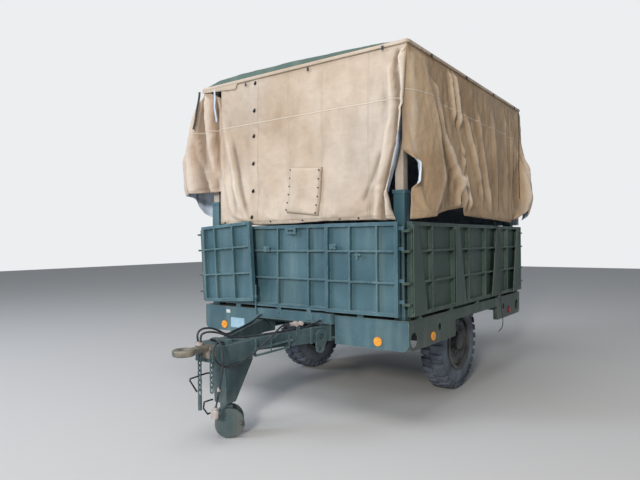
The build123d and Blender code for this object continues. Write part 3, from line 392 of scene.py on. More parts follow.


# Old tread rubber: grey from dust and sun, rough, with hardly a highlight. Its blue tint is painted cool
# light on the tread.
tyre_rubber = matt("tyre_rubber", "#474D56", "#6E7681", 0.8, 6.0, grain=0.5)
# Dark green enamel on the discs, painted nearly black as the shade under the arch, with dust in its corners.
wheel_paint = paint("wheel_paint", "#1E262B", "#2C363B", "#5F6A6C", 0.55, 0.4)
# Bare steel with old grease: brownish, half bright where a spanner has rubbed it.
worn_steel = matt("worn_steel", "#5B5A55", "#7E7A70", 0.5, 18.0, 0.5)
for side, face_x in (("right", disc_face), ("left", -disc_face)):
    finish_node("tyre_" + side, tyre_rubber)
    finish_node("rim_" + side, wheel_paint)
    finish_node("hub_" + side, wheel_paint)
    nut_angles = [math.tau * k / nut_count for k in range(nut_count)]
    repeated("wheel_nuts_" + side, [(face_x, axle_y + nut_circle * math.cos(a),
                                     axle_z + nut_circle * math.sin(a)) for a in nut_angles],
             nut_radius, nut_high, (0, math.pi / 2, 0), worn_steel, "wheel_" + side)

# Drawbar and support leg
# Two tapered box legs are welded into an A with a forged tow eye at its tip. A hinged leg with a
# caster props it up, and two handles of bent round bar on that leg lift and lock it.
handle_radius = 7
handle_lines = [
    [(-72, -1010, 521), (-84, -1036, 522), (-84, -1205, 512), (-84, -1211, 500), (-84, -1140, 396)],
    [(-72, -975, 295), (-84, -985, 295), (-84, -1063, 294), (-84, -1072, 246), (-84, -1027, 187),
     (-84, -1000, 190)],
]


def bars(name, lines, radius, material, body):
    """Round bars along lines of points, as one piece."""
    curve = bpy.data.curves.new(name, "CURVE")
    curve.dimensions = "3D"
    curve.bevel_depth = radius / 1000
    curve.bevel_resolution = 3
    curve.use_fill_caps = True
    for line in lines:
        spline = curve.splines.new("POLY")
        spline.points.add(len(line) - 1)
        for point, place in zip(spline.points, line):
            point.co = (*at(*place), 1)
    holder = bpy.data.objects.new(name, curve)
    scene.collection.objects.link(holder)
    return keep(name, plain_mesh(holder, name), material, body, True)


# Blue-green enamel, a little glossier than the walls': a soft sheen on the legs' rounded corners.
drawbar_paint = paint("drawbar_paint", "#30494F", "#425B60", "#8A9C98", 0.42, 0.25)
# Forged steel whose paint has worn off: brown grey, with a dim shine where the hook rubs it.
eye_paint = matt("eye_paint", "#62665C", "#96897A", 0.5, 14.0, 0.2)
# Blackened steel: dark and dull, so that handles, snaps and buckles stand out as small dark marks.
black_steel = matt("black_steel", "#17191B", "#2C2F31", 0.5, 20.0)
for name in ("drawbar", "drawbar_tray", "support_leg", "caster_yoke", "beam_pipe", "safety_chains"):
    finish_node(name, drawbar_paint)
finish_node("tow_eye", eye_paint)
bars("leg_handles", handle_lines, handle_radius, black_steel, "support_leg")

# Caster wheels
# Two cast wheels on one pin under the support leg, painted and then scuffed bare on the treads.
# A turned steel cap closes the pin at each end.
cap_radius, cap_deep = 17, 14
# Green paint scuffed to a sandy primer: warmer and paler at its edges than the leg's.
caster_paint = paint("caster_paint", "#2F484D", "#3C565B", "#B7A388", 0.45, 0.15)
finish_node("caster_wheels", caster_paint)
caster_low, caster_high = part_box("caster_wheels")
caster_y = ((caster_low.y + caster_high.y) / 2 - BODY_FRONT) * 1000
caster_z = ((caster_low.z + caster_high.z) / 2 - FLOOR) * 1000
repeated("caster_caps", [(x, caster_y, caster_z) for x in (caster_low.x * 1000, caster_high.x * 1000)],
         cap_radius, cap_deep, (0, math.pi / 2, 0), worn_steel, "caster_wheels", 24)

# Couplings and cable plug
# The air hoses end in cast couplings on the drawbar, and the cable in a cast plug that hangs
# beside the leg. A clamped collar grips the cable just above it.


def blocks(name, limits, material, body, edge=1.5):
    """Boxes from their limits on each axis, as one piece with broken edges."""
    made = bmesh.new()
    for (x0, x1), (y0, y1), (z0, z1) in limits:
        low, high = at(x0, y0, z0), at(x1, y1, z1)
        corner = Matrix.Translation((low + high) / 2) @ Matrix.Diagonal((*(high - low), 1))
        bmesh.ops.create_cube(made, size=1, matrix=corner)
    bmesh.ops.recalc_face_normals(made, faces=made.faces)
    bmesh.ops.bevel(made, geom=made.edges[:], offset=edge / 1000, segments=2, affect="EDGES")
    mesh = bpy.data.meshes.new(name)
    made.to_mesh(mesh)
    made.free()
    return keep(name, mesh, material, body)


# Sand-cast aluminium alloy, unpainted: pale and a little pink, with a soft metallic sheen.
cast_alloy = matt("cast_alloy", "#B9A8A0", "#D8CEC8", 0.45, 30.0, 0.35)
for name in ("coupling_front", "coupling_right", "cable_plug"):
    finish_node(name, cast_alloy)
collar_box = ((146, 166), (-1140, -1120), (430, 462))
collar_round = 3
blocks("cable_collar", [collar_box], cast_alloy, "chassis", collar_round)

# Front walls, corner posts and chassis frame
# Ribbed panels pressed from steel sheet hang on a welded frame. Latches and a slotted plate are
# welded to them, and a drop rod in two collars locks the wide wall to the sill.
rod_x, rod_y, rod_radius = -425, -70, 8
rod_top, rod_foot = 1160, 902
collar_radius, collar_high = 17, 26
# Green enamel painted blue-green as the cool light that falls on the front: faded in broad clouds, pale on
# edges from wear and painted highlight, with small chips.
cool_lit_front_paint = paint("cool_lit_front_paint", "#3C5C66", "#4E6F78", "#8FA6A4", 0.45, 0.25)
for name in ("end_wall_front", "corner_wall_front_left", "corner_wall_front_right", "skirt_front",
             "chassis_frame", "corner_posts"):
    finish_node(name, cool_lit_front_paint)
latch_case = [((-351, -282), (-31, -13), (1489, 1541)), ((-335, -300), (-42, -30), (1500, 1528))]
slotted_plate = [((-79, 47), (-24, -14), (1700, 1718)), ((-79, 47), (-24, -14), (1659, 1676)),
                 ((-79, -50), (-24, -14), (1674, 1702)), ((20, 47), (-24, -14), (1674, 1702))]
blocks("wall_latches", latch_case + slotted_plate, cool_lit_front_paint, "chassis")
right_case = [((478, 544), (-82, -69), (1517, 1562)), ((492, 528), (-92, -81), (1528, 1552))]
right_hook = [((742, 800), (-80, -69), (1462, 1476)), ((760, 776), (-86, -69), (1430, 1486))]
blocks("right_latch", right_case + right_hook, cool_lit_front_paint, "corner_wall_front_right")
bars("drop_rod", [[(rod_x, rod_y, rod_top), (rod_x, rod_y, rod_foot)]], rod_radius, cool_lit_front_paint,
     "chassis")
repeated("rod_collars", [(rod_x, rod_y, 1045), (rod_x, rod_y, 890)], collar_radius, collar_high,
         (0, 0, 0), cool_lit_front_paint, "chassis", 20)

# Platforms, gussets, side skirts and rear walls
# Ribbed steel platforms fold up on forged hinges at the floor's edge, with four gusset arms hung
# flat against each. Skirts with round holes, the deck and the rear walls are sheet steel too.

# The same green enamel, painted a darker olive as shade, since the side faces away from the cool light; its
# edges are greyer from wear and painted highlight.
shaded_side_paint = paint("shaded_side_paint", "#34463F", "#43564D", "#84938A", 0.42)
for name in ("platform_right", "platform_left", "skirt_right", "skirt_left", "hinge_forks",
             "end_wall_rear", "corner_wall_rear_left", "corner_wall_rear_right", "skirt_rear", "deck"):
    finish_node(name, shaded_side_paint)
for name in nodes:
    if name.startswith("gusset"):
        finish_node(name, shaded_side_paint)

# Plates on the front skirt
# Two thin plates of sheet metal, one flat on the skirt and a small one on the frame above it.
# They bear no words.

# Faded enamelled tin: a pale blue rectangle that stands out against the green.
blank_plate = matt("blank_plate", "#8FB4C8", "#A9C6D4", 0.6, 8.0)
# Bare primed tin: a small nearly white patch.
bare_chip = matt("bare_chip", "#C9CEC9", "#E2E4DF", 0.6, 30.0)
plate_edge = 0.8
blocks("skirt_plates", [((-842, -648), (-3, 0.5), (700, 802))], blank_plate, "chassis", plate_edge)
blocks("skirt_frame_plate", [((-905, -850), (-4, 0.5), (845, 880))], bare_chip, "chassis", plate_edge)

# Reflectors
# Round lenses of moulded plastic in thin rims, screwed to the skirts: amber in front and at the
# sides' front ends, red at the back.

# Smooth amber plastic: bright orange, with a small sharp highlight.
amber_lens = matt("amber_lens", "#E88A14", "#F6B04A", 0.25, 60.0)
# Smooth red plastic: deep and dark, with a small highlight.
red_lens = matt("red_lens", "#7A1518", "#98262A", 0.3, 60.0)
finish_node("amber_reflectors", amber_lens)
finish_node("red_reflectors", red_lens)

# Roof posts
# Four drawn steel tubes slide in the corner posts and carry the roof. Pins hold them up when it is
# raised.

# Bare steel with dried grease: pale, dull and slightly warm beside the green posts.
post_steel = matt("post_steel", "#A89C8E", "#C3B6A6", 0.5, 8.0)
finish_node("roof_posts", post_steel)

# Roof and its cover
# A crowned roof of sheet steel on a rolled rim. A thin green cover laps over the front rim and
# stands up in a low bow behind the valance.
cover_columns, cover_rows = 160, 24
cover_left, cover_right, cover_edge, cover_depth = -1190, 1180, 3250, 430
cover_thickness = 4


def wrinkles(across, down, size, height, seed):
    """Smooth uneven wrinkles, longer down the cloth than across it."""
    out = np.zeros_like(across)
    for index in np.ndindex(across.shape):
        spot = Vector((across[index] / size, down[index] / (1.8 * size), seed))
        out[index] = noise.noise(spot) + 0.5 * noise.noise(spot * 2.3) + 0.25 * noise.noise(spot * 5.1)
    return out * height


def sheet_mesh(name, points, cut, turned, relief=None):
    """A grid of places in millimetres as a mesh, with its cut in metres as a UV map."""
    rows, columns = points.shape[:2]
    mesh = bpy.data.meshes.new(name)
    spots = [at(*place) for place in points.reshape(-1, 3)]
    faces = []
    for row in range(rows - 1):
        for column in range(columns - 1):
            start = row * columns + column
            face = (start, start + columns, start + columns + 1, start + 1)
            faces.append(face[::-1] if turned else face)
    mesh.from_pydata(spots, [], faces)
    layer = mesh.uv_layers.new(name="cut")
    flat = cut.reshape(-1, 2) / 1000
    for loop in mesh.loops:
        layer.data[loop.index].uv = flat[loop.vertex_index]
    if relief is not None:
        mesh.attributes.new("relief", "FLOAT", "POINT").data.foreach_set("value", relief.ravel())
    return mesh


# Matt grey-green paint, paler than the walls.
roof_paint = paint("roof_paint", "#46594F", "#566A5E", "#7F8B7C", 0.55)
finish_node("roof", roof_paint)
share_u, share_v = np.meshgrid(np.linspace(cover_left, cover_right, cover_columns),
                               np.linspace(0, 1, cover_rows))
bow = np.interp(share_u, [cover_left, -975, -600, 0, 500, 900, cover_right], [2, 54, 66, 62, 48, 30, 2])
cover_y = np.interp(share_v, [0, 0.2, 0.3, 1], [-6, -4, 12, cover_depth])
cover_z = cover_edge + bow * np.interp(share_v, [0, 0.2, 0.3, 1], [0, 0.86, 1.0, 0.72])
cover_z += wrinkles(share_u, share_v * 400, 150, 4, 61.9) * np.clip(share_v * 6, 0, 1)
cover_points = np.stack([share_u, cover_y, cover_z], axis=-1)
cover_cut = np.stack([share_u, cover_y], axis=-1)
thin_cover = keep("roof_cover", sheet_mesh("roof_cover", cover_points, cover_cut, False), roof_paint,
                  "roof", True)
thin_cover.modifiers.new("thickness", "SOLIDIFY").thickness = cover_thickness / 1000
cover = bpy.data.objects.new("roof_cover", plain_mesh(thin_cover, "roof_cover"))
scene.collection.objects.link(cover)
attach(cover, "roof")

# Front curtain
# A heavy cotton sheet laced to the roof's rim. Its left edge hangs straight, and its right part is
# gathered in deep folds. A strip with toggles, two bands and the edges are doubled and stitched.
canvas_top, canvas_thickness = 3254, 4
curtain_tall, grid = 1500, 15
front_left, front_run, front_wide = -950, 2100, 2190


def cloth_material(name, colour, faded, uprights=(), levels=()):
    """Cotton duck: faded clouds, stains towards the hem, painted shade in the folds' valleys and painted
    light on their crests, a weave and lines of stitching.

    Each row of uprights and levels is a doubled strip: its place, its slope and half its width.
    """
    made, tree, shader = new_material(name, 0.92)
    place = add(tree, "ShaderNodeTexCoord").outputs["Object"]
    cut = add(tree, "ShaderNodeSeparateXYZ", {0: add(tree, "ShaderNodeUVMap", uv_map="cut")}).outputs
    # Sun and rain mottle it in clouds 600 mm wide, brown stains 320 mm wide and grey ones of 1.1 m.
    body, _ = clouded(tree, place, colour, faded, 1.7, 0.36, 0.66, detail=6.0)
    body, _ = clouded(tree, place, body, "#8F765A", 3.1, 0.5, 0.72, 0.45, 6.0, (1, 1, 0.45))
    body, _ = clouded(tree, place, body, "#A39C98", 0.9, 0.52, 0.7, 0.35, 4.0)
    # Painted shade darkens the valleys of the folds, and painted light brightens their crests.
    relief = add(tree, "ShaderNodeAttribute", attribute_name="relief").outputs["Fac"]
    for low, high, share, tone in ((-0.1, -0.9, 0.6, "#5E4C3A"), (0.15, 1.0, 0.5, "#E4D8C8")):
        deep = add(tree, "ShaderNodeMapRange", {"Value": relief, "From Min": low, "From Max": high,
                                                "To Max": share})
        body = add(tree, "ShaderNodeMix", {0: deep, 6: body, 7: tone}, data_type="RGBA").outputs[2]
    # A doubled strip is paler, stands up 2 mm and has a dark row of stitches along each edge.
    ridge = 0.0
    for along, across, table in ((cut["X"], cut["Y"], uprights), (cut["Y"], cut["X"], levels)):
        for start, slope, wide in table:
            line = add(tree, "ShaderNodeMath", {0: across, 1: slope, 2: start}, operation="MULTIPLY_ADD")
            off = add(tree, "ShaderNodeMath", {0: along, 1: line}, operation="SUBTRACT")
            far = add(tree, "ShaderNodeMath", {0: off}, operation="ABSOLUTE")
            outer = add(tree, "ShaderNodeMapRange", {"Value": far, "From Min": wide + 0.003,
                                                     "From Max": wide - 0.001})
            inner = add(tree, "ShaderNodeMapRange", {"Value": far, "From Min": wide - 0.007,
                                                     "From Max": wide - 0.003, "To Max": 0.4})
            stitch = add(tree, "ShaderNodeMath", {0: outer, 1: inner}, operation="MULTIPLY")
            sewn = add(tree, "ShaderNodeMix", {0: stitch, 6: body, 7: "#6E5A42"}, data_type="RGBA")
            strip = add(tree, "ShaderNodeMapRange", {"Value": far, "From Min": wide,
                                                     "From Max": wide - 0.004, "To Max": 0.32})
            body = add(tree, "ShaderNodeMix", {0: strip, 6: sewn.outputs[2], 7: "#E8DCC8"},
                       data_type="RGBA").outputs[2]
            level = add(tree, "ShaderNodeMapRange", {"Value": far, "From Min": wide + 0.002,
                                                     "From Max": wide - 0.002})
            ridge = add(tree, "ShaderNodeMath", {0: ridge, 1: level}, operation="MAXIMUM")
    tree.links.new(body, shader.inputs["Base Color"])
    # Dents 110 mm wide and creases 60 mm apart. The threads are drawn 2.4 mm apart, coarser than
    # they are, so that the weave shows.
    dents = add(tree, "ShaderNodeTexVoronoi", {"Vector": place, "Scale": 9.0}, feature="SMOOTH_F1")
    dented = add(tree, "ShaderNodeBump", {"Height": dents.outputs["Distance"], "Strength": 0.3,
                                          "Distance": 0.02})
    creases = add(tree, "ShaderNodeTexNoise", {"Vector": place, "Scale": 16.0, "Detail": 6.0})
    creased = add(tree, "ShaderNodeBump", {"Height": creases, "Strength": 0.8, "Distance": 0.012,
                                           "Normal": dented})
    threads = add(tree, "ShaderNodeTexNoise", {"Vector": place, "Scale": 420.0, "Detail": 2.0})
    woven = add(tree, "ShaderNodeBump", {"Height": threads, "Strength": 0.25, "Distance": 0.0008,
                                         "Normal": creased})
    raised = add(tree, "ShaderNodeBump", {"Height": ridge, "Strength": 0.6, "Distance": 0.002,
                                          "Normal": woven})
    tree.links.new(raised.outputs[0], shader.inputs["Normal"])
    return made


def span(table, height):
    """A value that changes with height, from a table of (height, value), lowest first."""
    return np.interp(height, [row[0] for row in table], [row[1] for row in table])


def folds(across, down, table):
    """How far the cloth stands out at each point, summed over ridges and valleys.

    Each row of the table is a line from one place to another, with its width and its height.
    """
    out = np.zeros_like(across)
    for (a0, z0), (a1, z1), width, height in table:
        run = np.array([a1 - a0, z1 - z0], float)
        length = np.hypot(*run)
        share = ((across - a0) * run[0] + (down - z0) * run[1]) / length ** 2
        side = ((across - a0) * run[1] - (down - z0) * run[0]) / length
        fade = np.clip(np.minimum(share + 0.12, 1.12 - share) / 0.24, 0, 1)
        fade = fade * fade * (3 - 2 * fade)
        out += height * fade * np.exp(-(side / width) ** 2)
    return out


# This relief sets where the curtains get painted shade in their valleys and painted light on their crests.
def fold_shade_and_light(out):
    """The height of each spot above the cloth round it, -1 in a deep fold and 1 on a sharp crest."""
    reach, full_height = 6, 24
    wide = np.pad(out, ((0, 0), (reach, reach)), mode="edge")
    window = np.ones(2 * reach + 1) / (2 * reach + 1)
    mean = np.array([np.convolve(line, window, "valid") for line in wide])
    return np.clip((out - mean) / full_height, -1, 1)


def settle(piece, rows, columns, reach):
    """Lets the cloth hang from its top, sides and hem for a moment, kept near its drawn place."""
    row, column = np.divmod(np.arange(rows * columns), columns)
    held = np.where(row == 0, 1.0, 0.0)
    held = np.maximum(held, np.where((column == 0) | (column == columns - 1), 0.9, 0.0))
    held = np.maximum(held, np.where(row >= rows - 2, 0.6, 0.0))
    group = piece.vertex_groups.new(name="held")
    for index, weight in enumerate(held):
        if weight > 0:
            group.add([index], float(weight), "REPLACE")
    drawn = np.array([v.co for v in piece.data.vertices])
    cloth = piece.modifiers.new("hang", "CLOTH")
    cloth.settings.quality = 6
    cloth.settings.mass = 0.35
    cloth.settings.tension_stiffness = 25
    cloth.settings.compression_stiffness = 25
    cloth.settings.shear_stiffness = 10
    cloth.settings.bending_stiffness = 2
    cloth.settings.vertex_group_mass = "held"
    for step in range(1, 19):
        scene.frame_set(step)
    seen = piece.evaluated_get(bpy.context.evaluated_depsgraph_get())
    moved = np.array([v.co for v in seen.data.vertices]) - drawn
    piece.modifiers.remove(cloth)
    piece.vertex_groups.remove(group)
    scene.frame_set(1)
    far = np.linalg.norm(moved, axis=1, keepdims=True)
    moved *= np.minimum(1, reach / 1000 / np.maximum(far, 1e-9))
    moved[:, 2] = np.maximum(moved[:, 2], -0.003)
    piece.data.vertices.foreach_set("co", (drawn + moved).ravel())
    piece.data.update()


# Proofed cotton inside, never in the sun: pale blue grey, so that turned edges look cold and light.
canvas_lining = matt("canvas_lining", "#AFC0D4", "#D5DCE4", 0.85, 5.0)


def curtain(name, points, cut, turned, material, node, relief, reach=14):
    """One curtain: it hangs, gets its thickness and lining, and takes the place of its node."""
    rows, columns = points.shape[:2]
    drawn = keep(name, sheet_mesh(name, points, cut, turned, relief), material, "chassis", True)
    settle(drawn, rows, columns, reach)
    drawn.data.materials.append(canvas_lining)
    thick = drawn.modifiers.new("thickness", "SOLIDIFY")
    thick.thickness = canvas_thickness / 1000
    thick.offset = -1
    thick.material_offset = 1
    piece = bpy.data.objects.new(name, plain_mesh(drawn, name))
    scene.collection.objects.link(piece)
    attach(piece, "chassis")
    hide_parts(node)
    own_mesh(piece)
    return piece


columns, rows = front_wide // grid, curtain_tall // grid
share_x, share_z = np.meshgrid(np.linspace(0, 1, columns), np.linspace(0, 1, rows))
hem = np.interp(share_x * front_run + front_left, [front_left, -420, -30, 390, 820, 1120],
                [1779, 1759, 1759, 1773, 1771, 1763])
down = canvas_top + (hem - canvas_top) * share_z
left_edge = span([(1779, -950), (3111, -934)], down)
right_edge = span([(1761, 1118), (1850, 1086), (2017, 1062), (2492, 1186), (2719, 1218), (3105, 1232),
                   (3256, 1226)], down)
across = left_edge + (right_edge - left_edge) * share_x
out = 1.5 * folds(across, down, [
    ((1144, 3200), (1112, 3020), 20, -26), ((1112, 3020), (1160, 2700), 20, -26),
    ((1160, 2700), (1140, 2430), 20, -30), ((1140, 2430), (1010, 1990), 22, -34),
    ((1010, 1990), (1000, 1760), 20, -30),
    ((1190, 3150), (1205, 2700), 26, 42), ((1205, 2700), (1170, 2400), 26, 50),
    ((1165, 2400), (1045, 1990), 22, 46), ((1050, 2000), (1060, 1770), 22, 40),
    ((1085, 3050), (1100, 2600), 45, 24), ((1090, 2600), (960, 2050), 34, 34),
    ((960, 2050), (930, 1770), 30, 26),
    ((990, 2340), (800, 1930), 26, -18), ((1050, 2700), (880, 2030), 50, 16),
    ((1000, 3150), (930, 2550), 60, 12), ((-772, 2600), (-581, 1900), 30, -15),
    ((-830, 2650), (-650, 1850), 34, 20), ((-900, 2900), (-760, 1800), 34, 14),
    ((-720, 2200), (-560, 1780), 30, 16), ((-930, 2700), (-900, 1800), 22, 10),
    ((-300, 2200), (-200, 1790), 60, 10), ((450, 2300), (520, 1800), 60, 9),
    ((650, 2500), (560, 1900), 70, 8), ((-480, 2750), (-320, 2650), 30, -5),
])
out += wrinkles(across, down, 260, 11, 3.7) + wrinkles(across, down, 90, 4, 8.1)
# The whole sheet bellies out a little, and the toggle strip and the wide band stand up on it.
out += 20 * np.sin(np.pi * share_z) * np.sin(np.pi * share_x) ** 0.5 + 8 * share_z
out += 6 * np.clip((across + 540) / 8, 0, 1) * np.clip((-402 - across) / 6, 0, 1)
band_left = span([(1757, -20), (2289, 35), (2738, 100), (3227, 118)], down)
out += 4 * np.clip((across - band_left) / 8, 0, 1) * np.clip((375 - across) / 8, 0, 1)
out = np.maximum(out, -30) * np.clip(share_z * 14, 0, 1) + 3
front_points = np.stack([across, -4 - out - 14 * (share_z > 0.02), down], axis=-1)
# Sand-coloured cotton: dry and dull, mottled by rain, with painted shade in its valleys.
front_canvas = cloth_material("front_canvas", "#BAA690", "#D2C2B0", uprights=[
    (-0.405, -0.003, 0.003), (0.118, -0.05, 0.006), (0.373, 0.0, 0.006), (0.861, 0.0, 0.006),
], levels=[(2.782, 0.0, 0.010), (1.800, 0.0, 0.004), (3.225, 0.0, 0.004)])
front_curtain = curtain("front_curtain", front_points, np.stack([across, down], axis=-1), False,
                        front_canvas, "canvas_front", fold_shade_and_light(out))

# Left curtain
# The same cotton along the left side. Its front corner is tied up and blown out into a bag, open
# below, where the pale lining shows.
left_run, left_grid = 4300, 20
bag_share = 0.29
columns, rows = left_run // left_grid, curtain_tall // grid
share_s, share_z = np.meshgrid(np.linspace(0, 1, columns), np.linspace(0, 1, rows))
hem = np.interp(share_s, [0, 0.09, 0.17, 0.2, 0.24, bag_share, 1], [2125, 2118, 2100, 1930, 1830, 1790, 1765])
down = canvas_top + (hem - canvas_top) * share_z
# The sheet's line seen from above is a smooth curve through these keys, which change with height.
plan = [0, 0.02, 0.09, 0.17, 0.245, bag_share, 1]
swell = span([(1757, 30), (1817, 240), (1892, 350), (2095, 425), (2516, 455), (2760, 330), (2914, 250),
              (3195, 10), (3256, 3)], down)
front = span([(2100, -945), (3000, -945), (3120, -975), (3200, -1120), (3256, -1215)], down)
straight = 0 * swell
keys_x = [front, front - 20, -1215 - 0.55 * swell, -1222 - swell, -1236 - 0.42 * swell,
          -1236 + straight, -1236 + straight]
keys_y = [14 + straight, -4 + straight, 10 - 0.10 * swell, 190 + straight, 405 + straight,
          570 + straight, 3112 + straight]
place_x, place_y = np.zeros_like(down), np.zeros_like(down)
for start in range(len(plan) - 1):
    inside = (share_s >= plan[start]) & (share_s <= plan[start + 1])
    width = plan[start + 1] - plan[start]
    t = np.clip((share_s - plan[start]) / width, 0, 1)
    for keys, target in ((keys_x, place_x), (keys_y, place_y)):
        a, b = keys[start], keys[start + 1]
        lead = trail = b - a
        if start:
            lead = (b - keys[start - 1]) / (plan[start + 1] - plan[start - 1]) * width
        if start + 2 < len(keys):
            trail = (keys[start + 2] - a) / (plan[start + 2] - plan[start]) * width
        curve = ((2 * t ** 3 - 3 * t ** 2 + 1) * a + (t ** 3 - 2 * t ** 2 + t) * lead
                 + (3 * t ** 2 - 2 * t ** 3) * b + (t ** 3 - t ** 2) * trail)
        target[inside] = curve[inside]
along = share_s * left_run
out = 2.2 * folds(along, down, [
    ((60, 3150), (40, 2150), 22, 20), ((140, 3050), (110, 2130), 22, -24),
    ((300, 2700), (160, 2110), 22, 22), ((560, 2700), (420, 2110), 24, -24),
    ((250, 3180), (90, 2130), 26, 22), ((330, 3150), (190, 2110), 28, -24),
    ((420, 3150), (330, 2100), 34, 26), ((520, 3000), (470, 2100), 30, -22),
    ((620, 2950), (600, 2100), 34, 22), ((760, 3100), (760, 2000), 34, -18),
    ((900, 3100), (930, 1850), 60, 24), ((1200, 3150), (1150, 1800), 50, -16),
    ((1500, 3200), (1600, 1800), 90, 22), ((2000, 3200), (1950, 1800), 60, -14),
    ((2500, 3200), (2580, 1800), 90, 20), ((3100, 3200), (3050, 1800), 60, -14),
    ((3600, 3200), (3650, 1800), 80, 18), ((4000, 3200), (3980, 1800), 40, -14),
]) + wrinkles(along, down, 240, 12, 12.3) + wrinkles(along, down, 80, 6, 17.9)
turn_x = np.interp(share_s, [0, 0.09, 0.17, 0.24, bag_share, 1], [0, -0.3, -1, -0.8, -1, -1])
turn_y = np.interp(share_s, [0, 0.09, 0.17, 0.24, bag_share, 1], [-1, -0.9, -0.2, 0.5, 0, 0])
out *= np.clip(share_z * 10, 0, 1) * np.clip(share_s * 40, 0, 1)
out = np.where(share_s > bag_share, np.clip(out, -4, 60), out)
left_points = np.stack([place_x + turn_x * out, place_y + turn_y * out, down], axis=-1)
# Browner cotton than in front, so that it looks warmer and darker.
left_canvas = cloth_material("left_canvas", "#AB917A", "#C2AD98",
                             uprights=[(1.15, 0.0, 0.006), (3.2, 0.0, 0.006)],
                             levels=[(2.782, 0.0, 0.010), (1.84, 0.0, 0.004)])
curtain("left_curtain", left_points, np.stack([along, down], axis=-1), True, left_canvas,
        "canvas_left", fold_shade_and_light(out), 10)

# Right curtain
# The same cotton along the right side. It flares out over its front edge and is pulled up in the
# middle of its hem; its rear corner is tied up into a bag.
right_wide, right_front, right_rear = 3100, 25, 3120
right_face = 1232
columns, rows = right_wide // grid, curtain_tall // grid
share_s, share_z = np.meshgrid(np.linspace(0, 1, columns), np.linspace(0, 1, rows))
hem = np.interp(share_s * (right_rear - right_front) + right_front,
                [right_front, 440, 776, 1177, 1228, 1689, 2146, 2743, 2850, 2990, right_rear],
                [1765, 1806, 1868, 1912, 1832, 1822, 1813, 1795, 1850, 1960, 1830])
down = canvas_top + (hem - canvas_top) * share_z
start_y = span([(1757, 24), (2042, 10), (2150, 20), (2240, 30), (2330, -44), (2779, -36),
                (3256, -24)], down)
across = start_y + (3116 - start_y) * share_s
# The flare rises from the front edge to a slanting crest and falls away behind it.
crest = span([(1762, 300), (2128, 440), (2600, 370), (3167, 224)], down)
flare = span([(1762, 95), (2128, 135), (2600, 95), (3167, 30), (3256, 4)], down)
rising = np.clip((across - start_y) / np.maximum(crest - start_y, 1), 0, 1) ** 0.8
out = flare * np.where(across < crest, rising, np.exp(-((across - crest) / 130) ** 2))
bag = span([(1757, 20), (1847, 120), (2118, 185), (2516, 150), (2965, 20), (3256, 0)], down)
lean = span([(1804, 2784), (2336, 2900), (2867, 3060), (3256, 3116)], down)
out += bag * np.clip((across - lean) / 130, 0, 1) * np.clip((3135 - across) / 70, 0, 1)
out += 26 * np.sin(np.pi * np.clip(share_z, 0, 1)) ** 0.5
out += 1.9 * folds(across, down, [
    ((880, 3250), (900, 3060), 12, -30), ((900, 3060), (1014, 2700), 15, -34),
    ((940, 3200), (1060, 2720), 26, 24), ((840, 3200), (930, 2760), 30, 18),
    ((1014, 2700), (1190, 2390), 22, -26), ((1190, 2390), (1232, 1960), 22, -30),
    ((1150, 2500), (1290, 1900), 34, 30), ((401, 2980), (660, 2500), 50, 26),
    ((660, 2500), (1190, 1950), 46, 40), ((560, 2900), (900, 2400), 34, -18),
    ((1251, 2820), (1700, 2000), 40, 20), ((1350, 2850), (1830, 2050), 34, -14),
    ((1560, 2950), (1980, 1850), 46, 16), ((2050, 3000), (2200, 1830), 60, 12),
    ((2500, 3100), (2560, 1830), 60, 12), ((2700, 3200), (2760, 1830), 26, -12),
    ((650, 2300), (600, 1850), 40, 18), ((820, 2250), (830, 1900), 30, -20),
    ((980, 2200), (1010, 1920), 34, 22), ((2880, 2800), (2860, 2000), 26, -16),
    ((2990, 2700), (2980, 2050), 26, 16),
])
out += wrinkles(across, down, 250, 12, 21.5) + wrinkles(across, down, 85, 5, 27.2)
out = np.clip(out, -2, 215) * np.clip(share_z * 14, 0, 1)
# The front edge curls in over most of its height and is turned out below that, lining up.
edge_near = np.clip(1 - (across - start_y) / 85, 0, 1) ** 2
curled_in = np.clip((down - 2290) / 50, 0, 1) * np.clip((3200 - down) / 60, 0, 1)
turned_out = np.clip((down - 2020) / 50, 0, 1) * np.clip((2290 - down) / 50, 0, 1)
out = out - 52 * edge_near * curled_in + 84 * edge_near * turned_out
right_points = np.stack([right_face + out, across - 22 * edge_near * curled_in, down], axis=-1)
# The same cotton, painted browner and darker as shade on the side: the warmest of the four, with its long
# folds picked out by the side light.
shaded_right_canvas = cloth_material("shaded_right_canvas", "#A98D6E", "#C2A786",
                              uprights=[(2.385, 0.0, 0.008), (0.30, 0.12, 0.005)],
                              levels=[(2.845, 0.0, 0.010), (1.835, 0.0, 0.004), (3.225, 0.0, 0.004)])
curtain("right_curtain", right_points, np.stack([across, down], axis=-1), False, shaded_right_canvas,
        "canvas_right", fold_shade_and_light(out), 12)

# Rear curtain
# A plain sheet of the same cotton that hangs straight behind, cut from three widths with two
# seams, and falls in a few long folds.
rear_wide, rear_tall, rear_grid = 2430, 1480, 20
rear_hem, rear_face = 1770, 3126
columns, rows = rear_wide // rear_grid, rear_tall // rear_grid
share_x, share_z = np.meshgrid(np.linspace(0, 1, columns), np.linspace(0, 1, rows))
down = canvas_top + (rear_hem - canvas_top) * share_z
across = -rear_wide / 2 + rear_wide * share_x
out = folds(across, down, [
    ((-800, 3200), (-820, 1800), 70, 22), ((-300, 3200), (-260, 1800), 60, -12),
    ((200, 3200), (240, 1800), 90, 22), ((700, 3200), (640, 1800), 50, -12),
    ((1000, 3200), (1050, 1800), 60, 20),
])
out += wrinkles(across, down, 250, 8, 31.1)
out = np.clip(out + 12, 0, 60) * np.clip(share_z * 10, 0, 1)
rear_points = np.stack([across, rear_face + out, down], axis=-1)
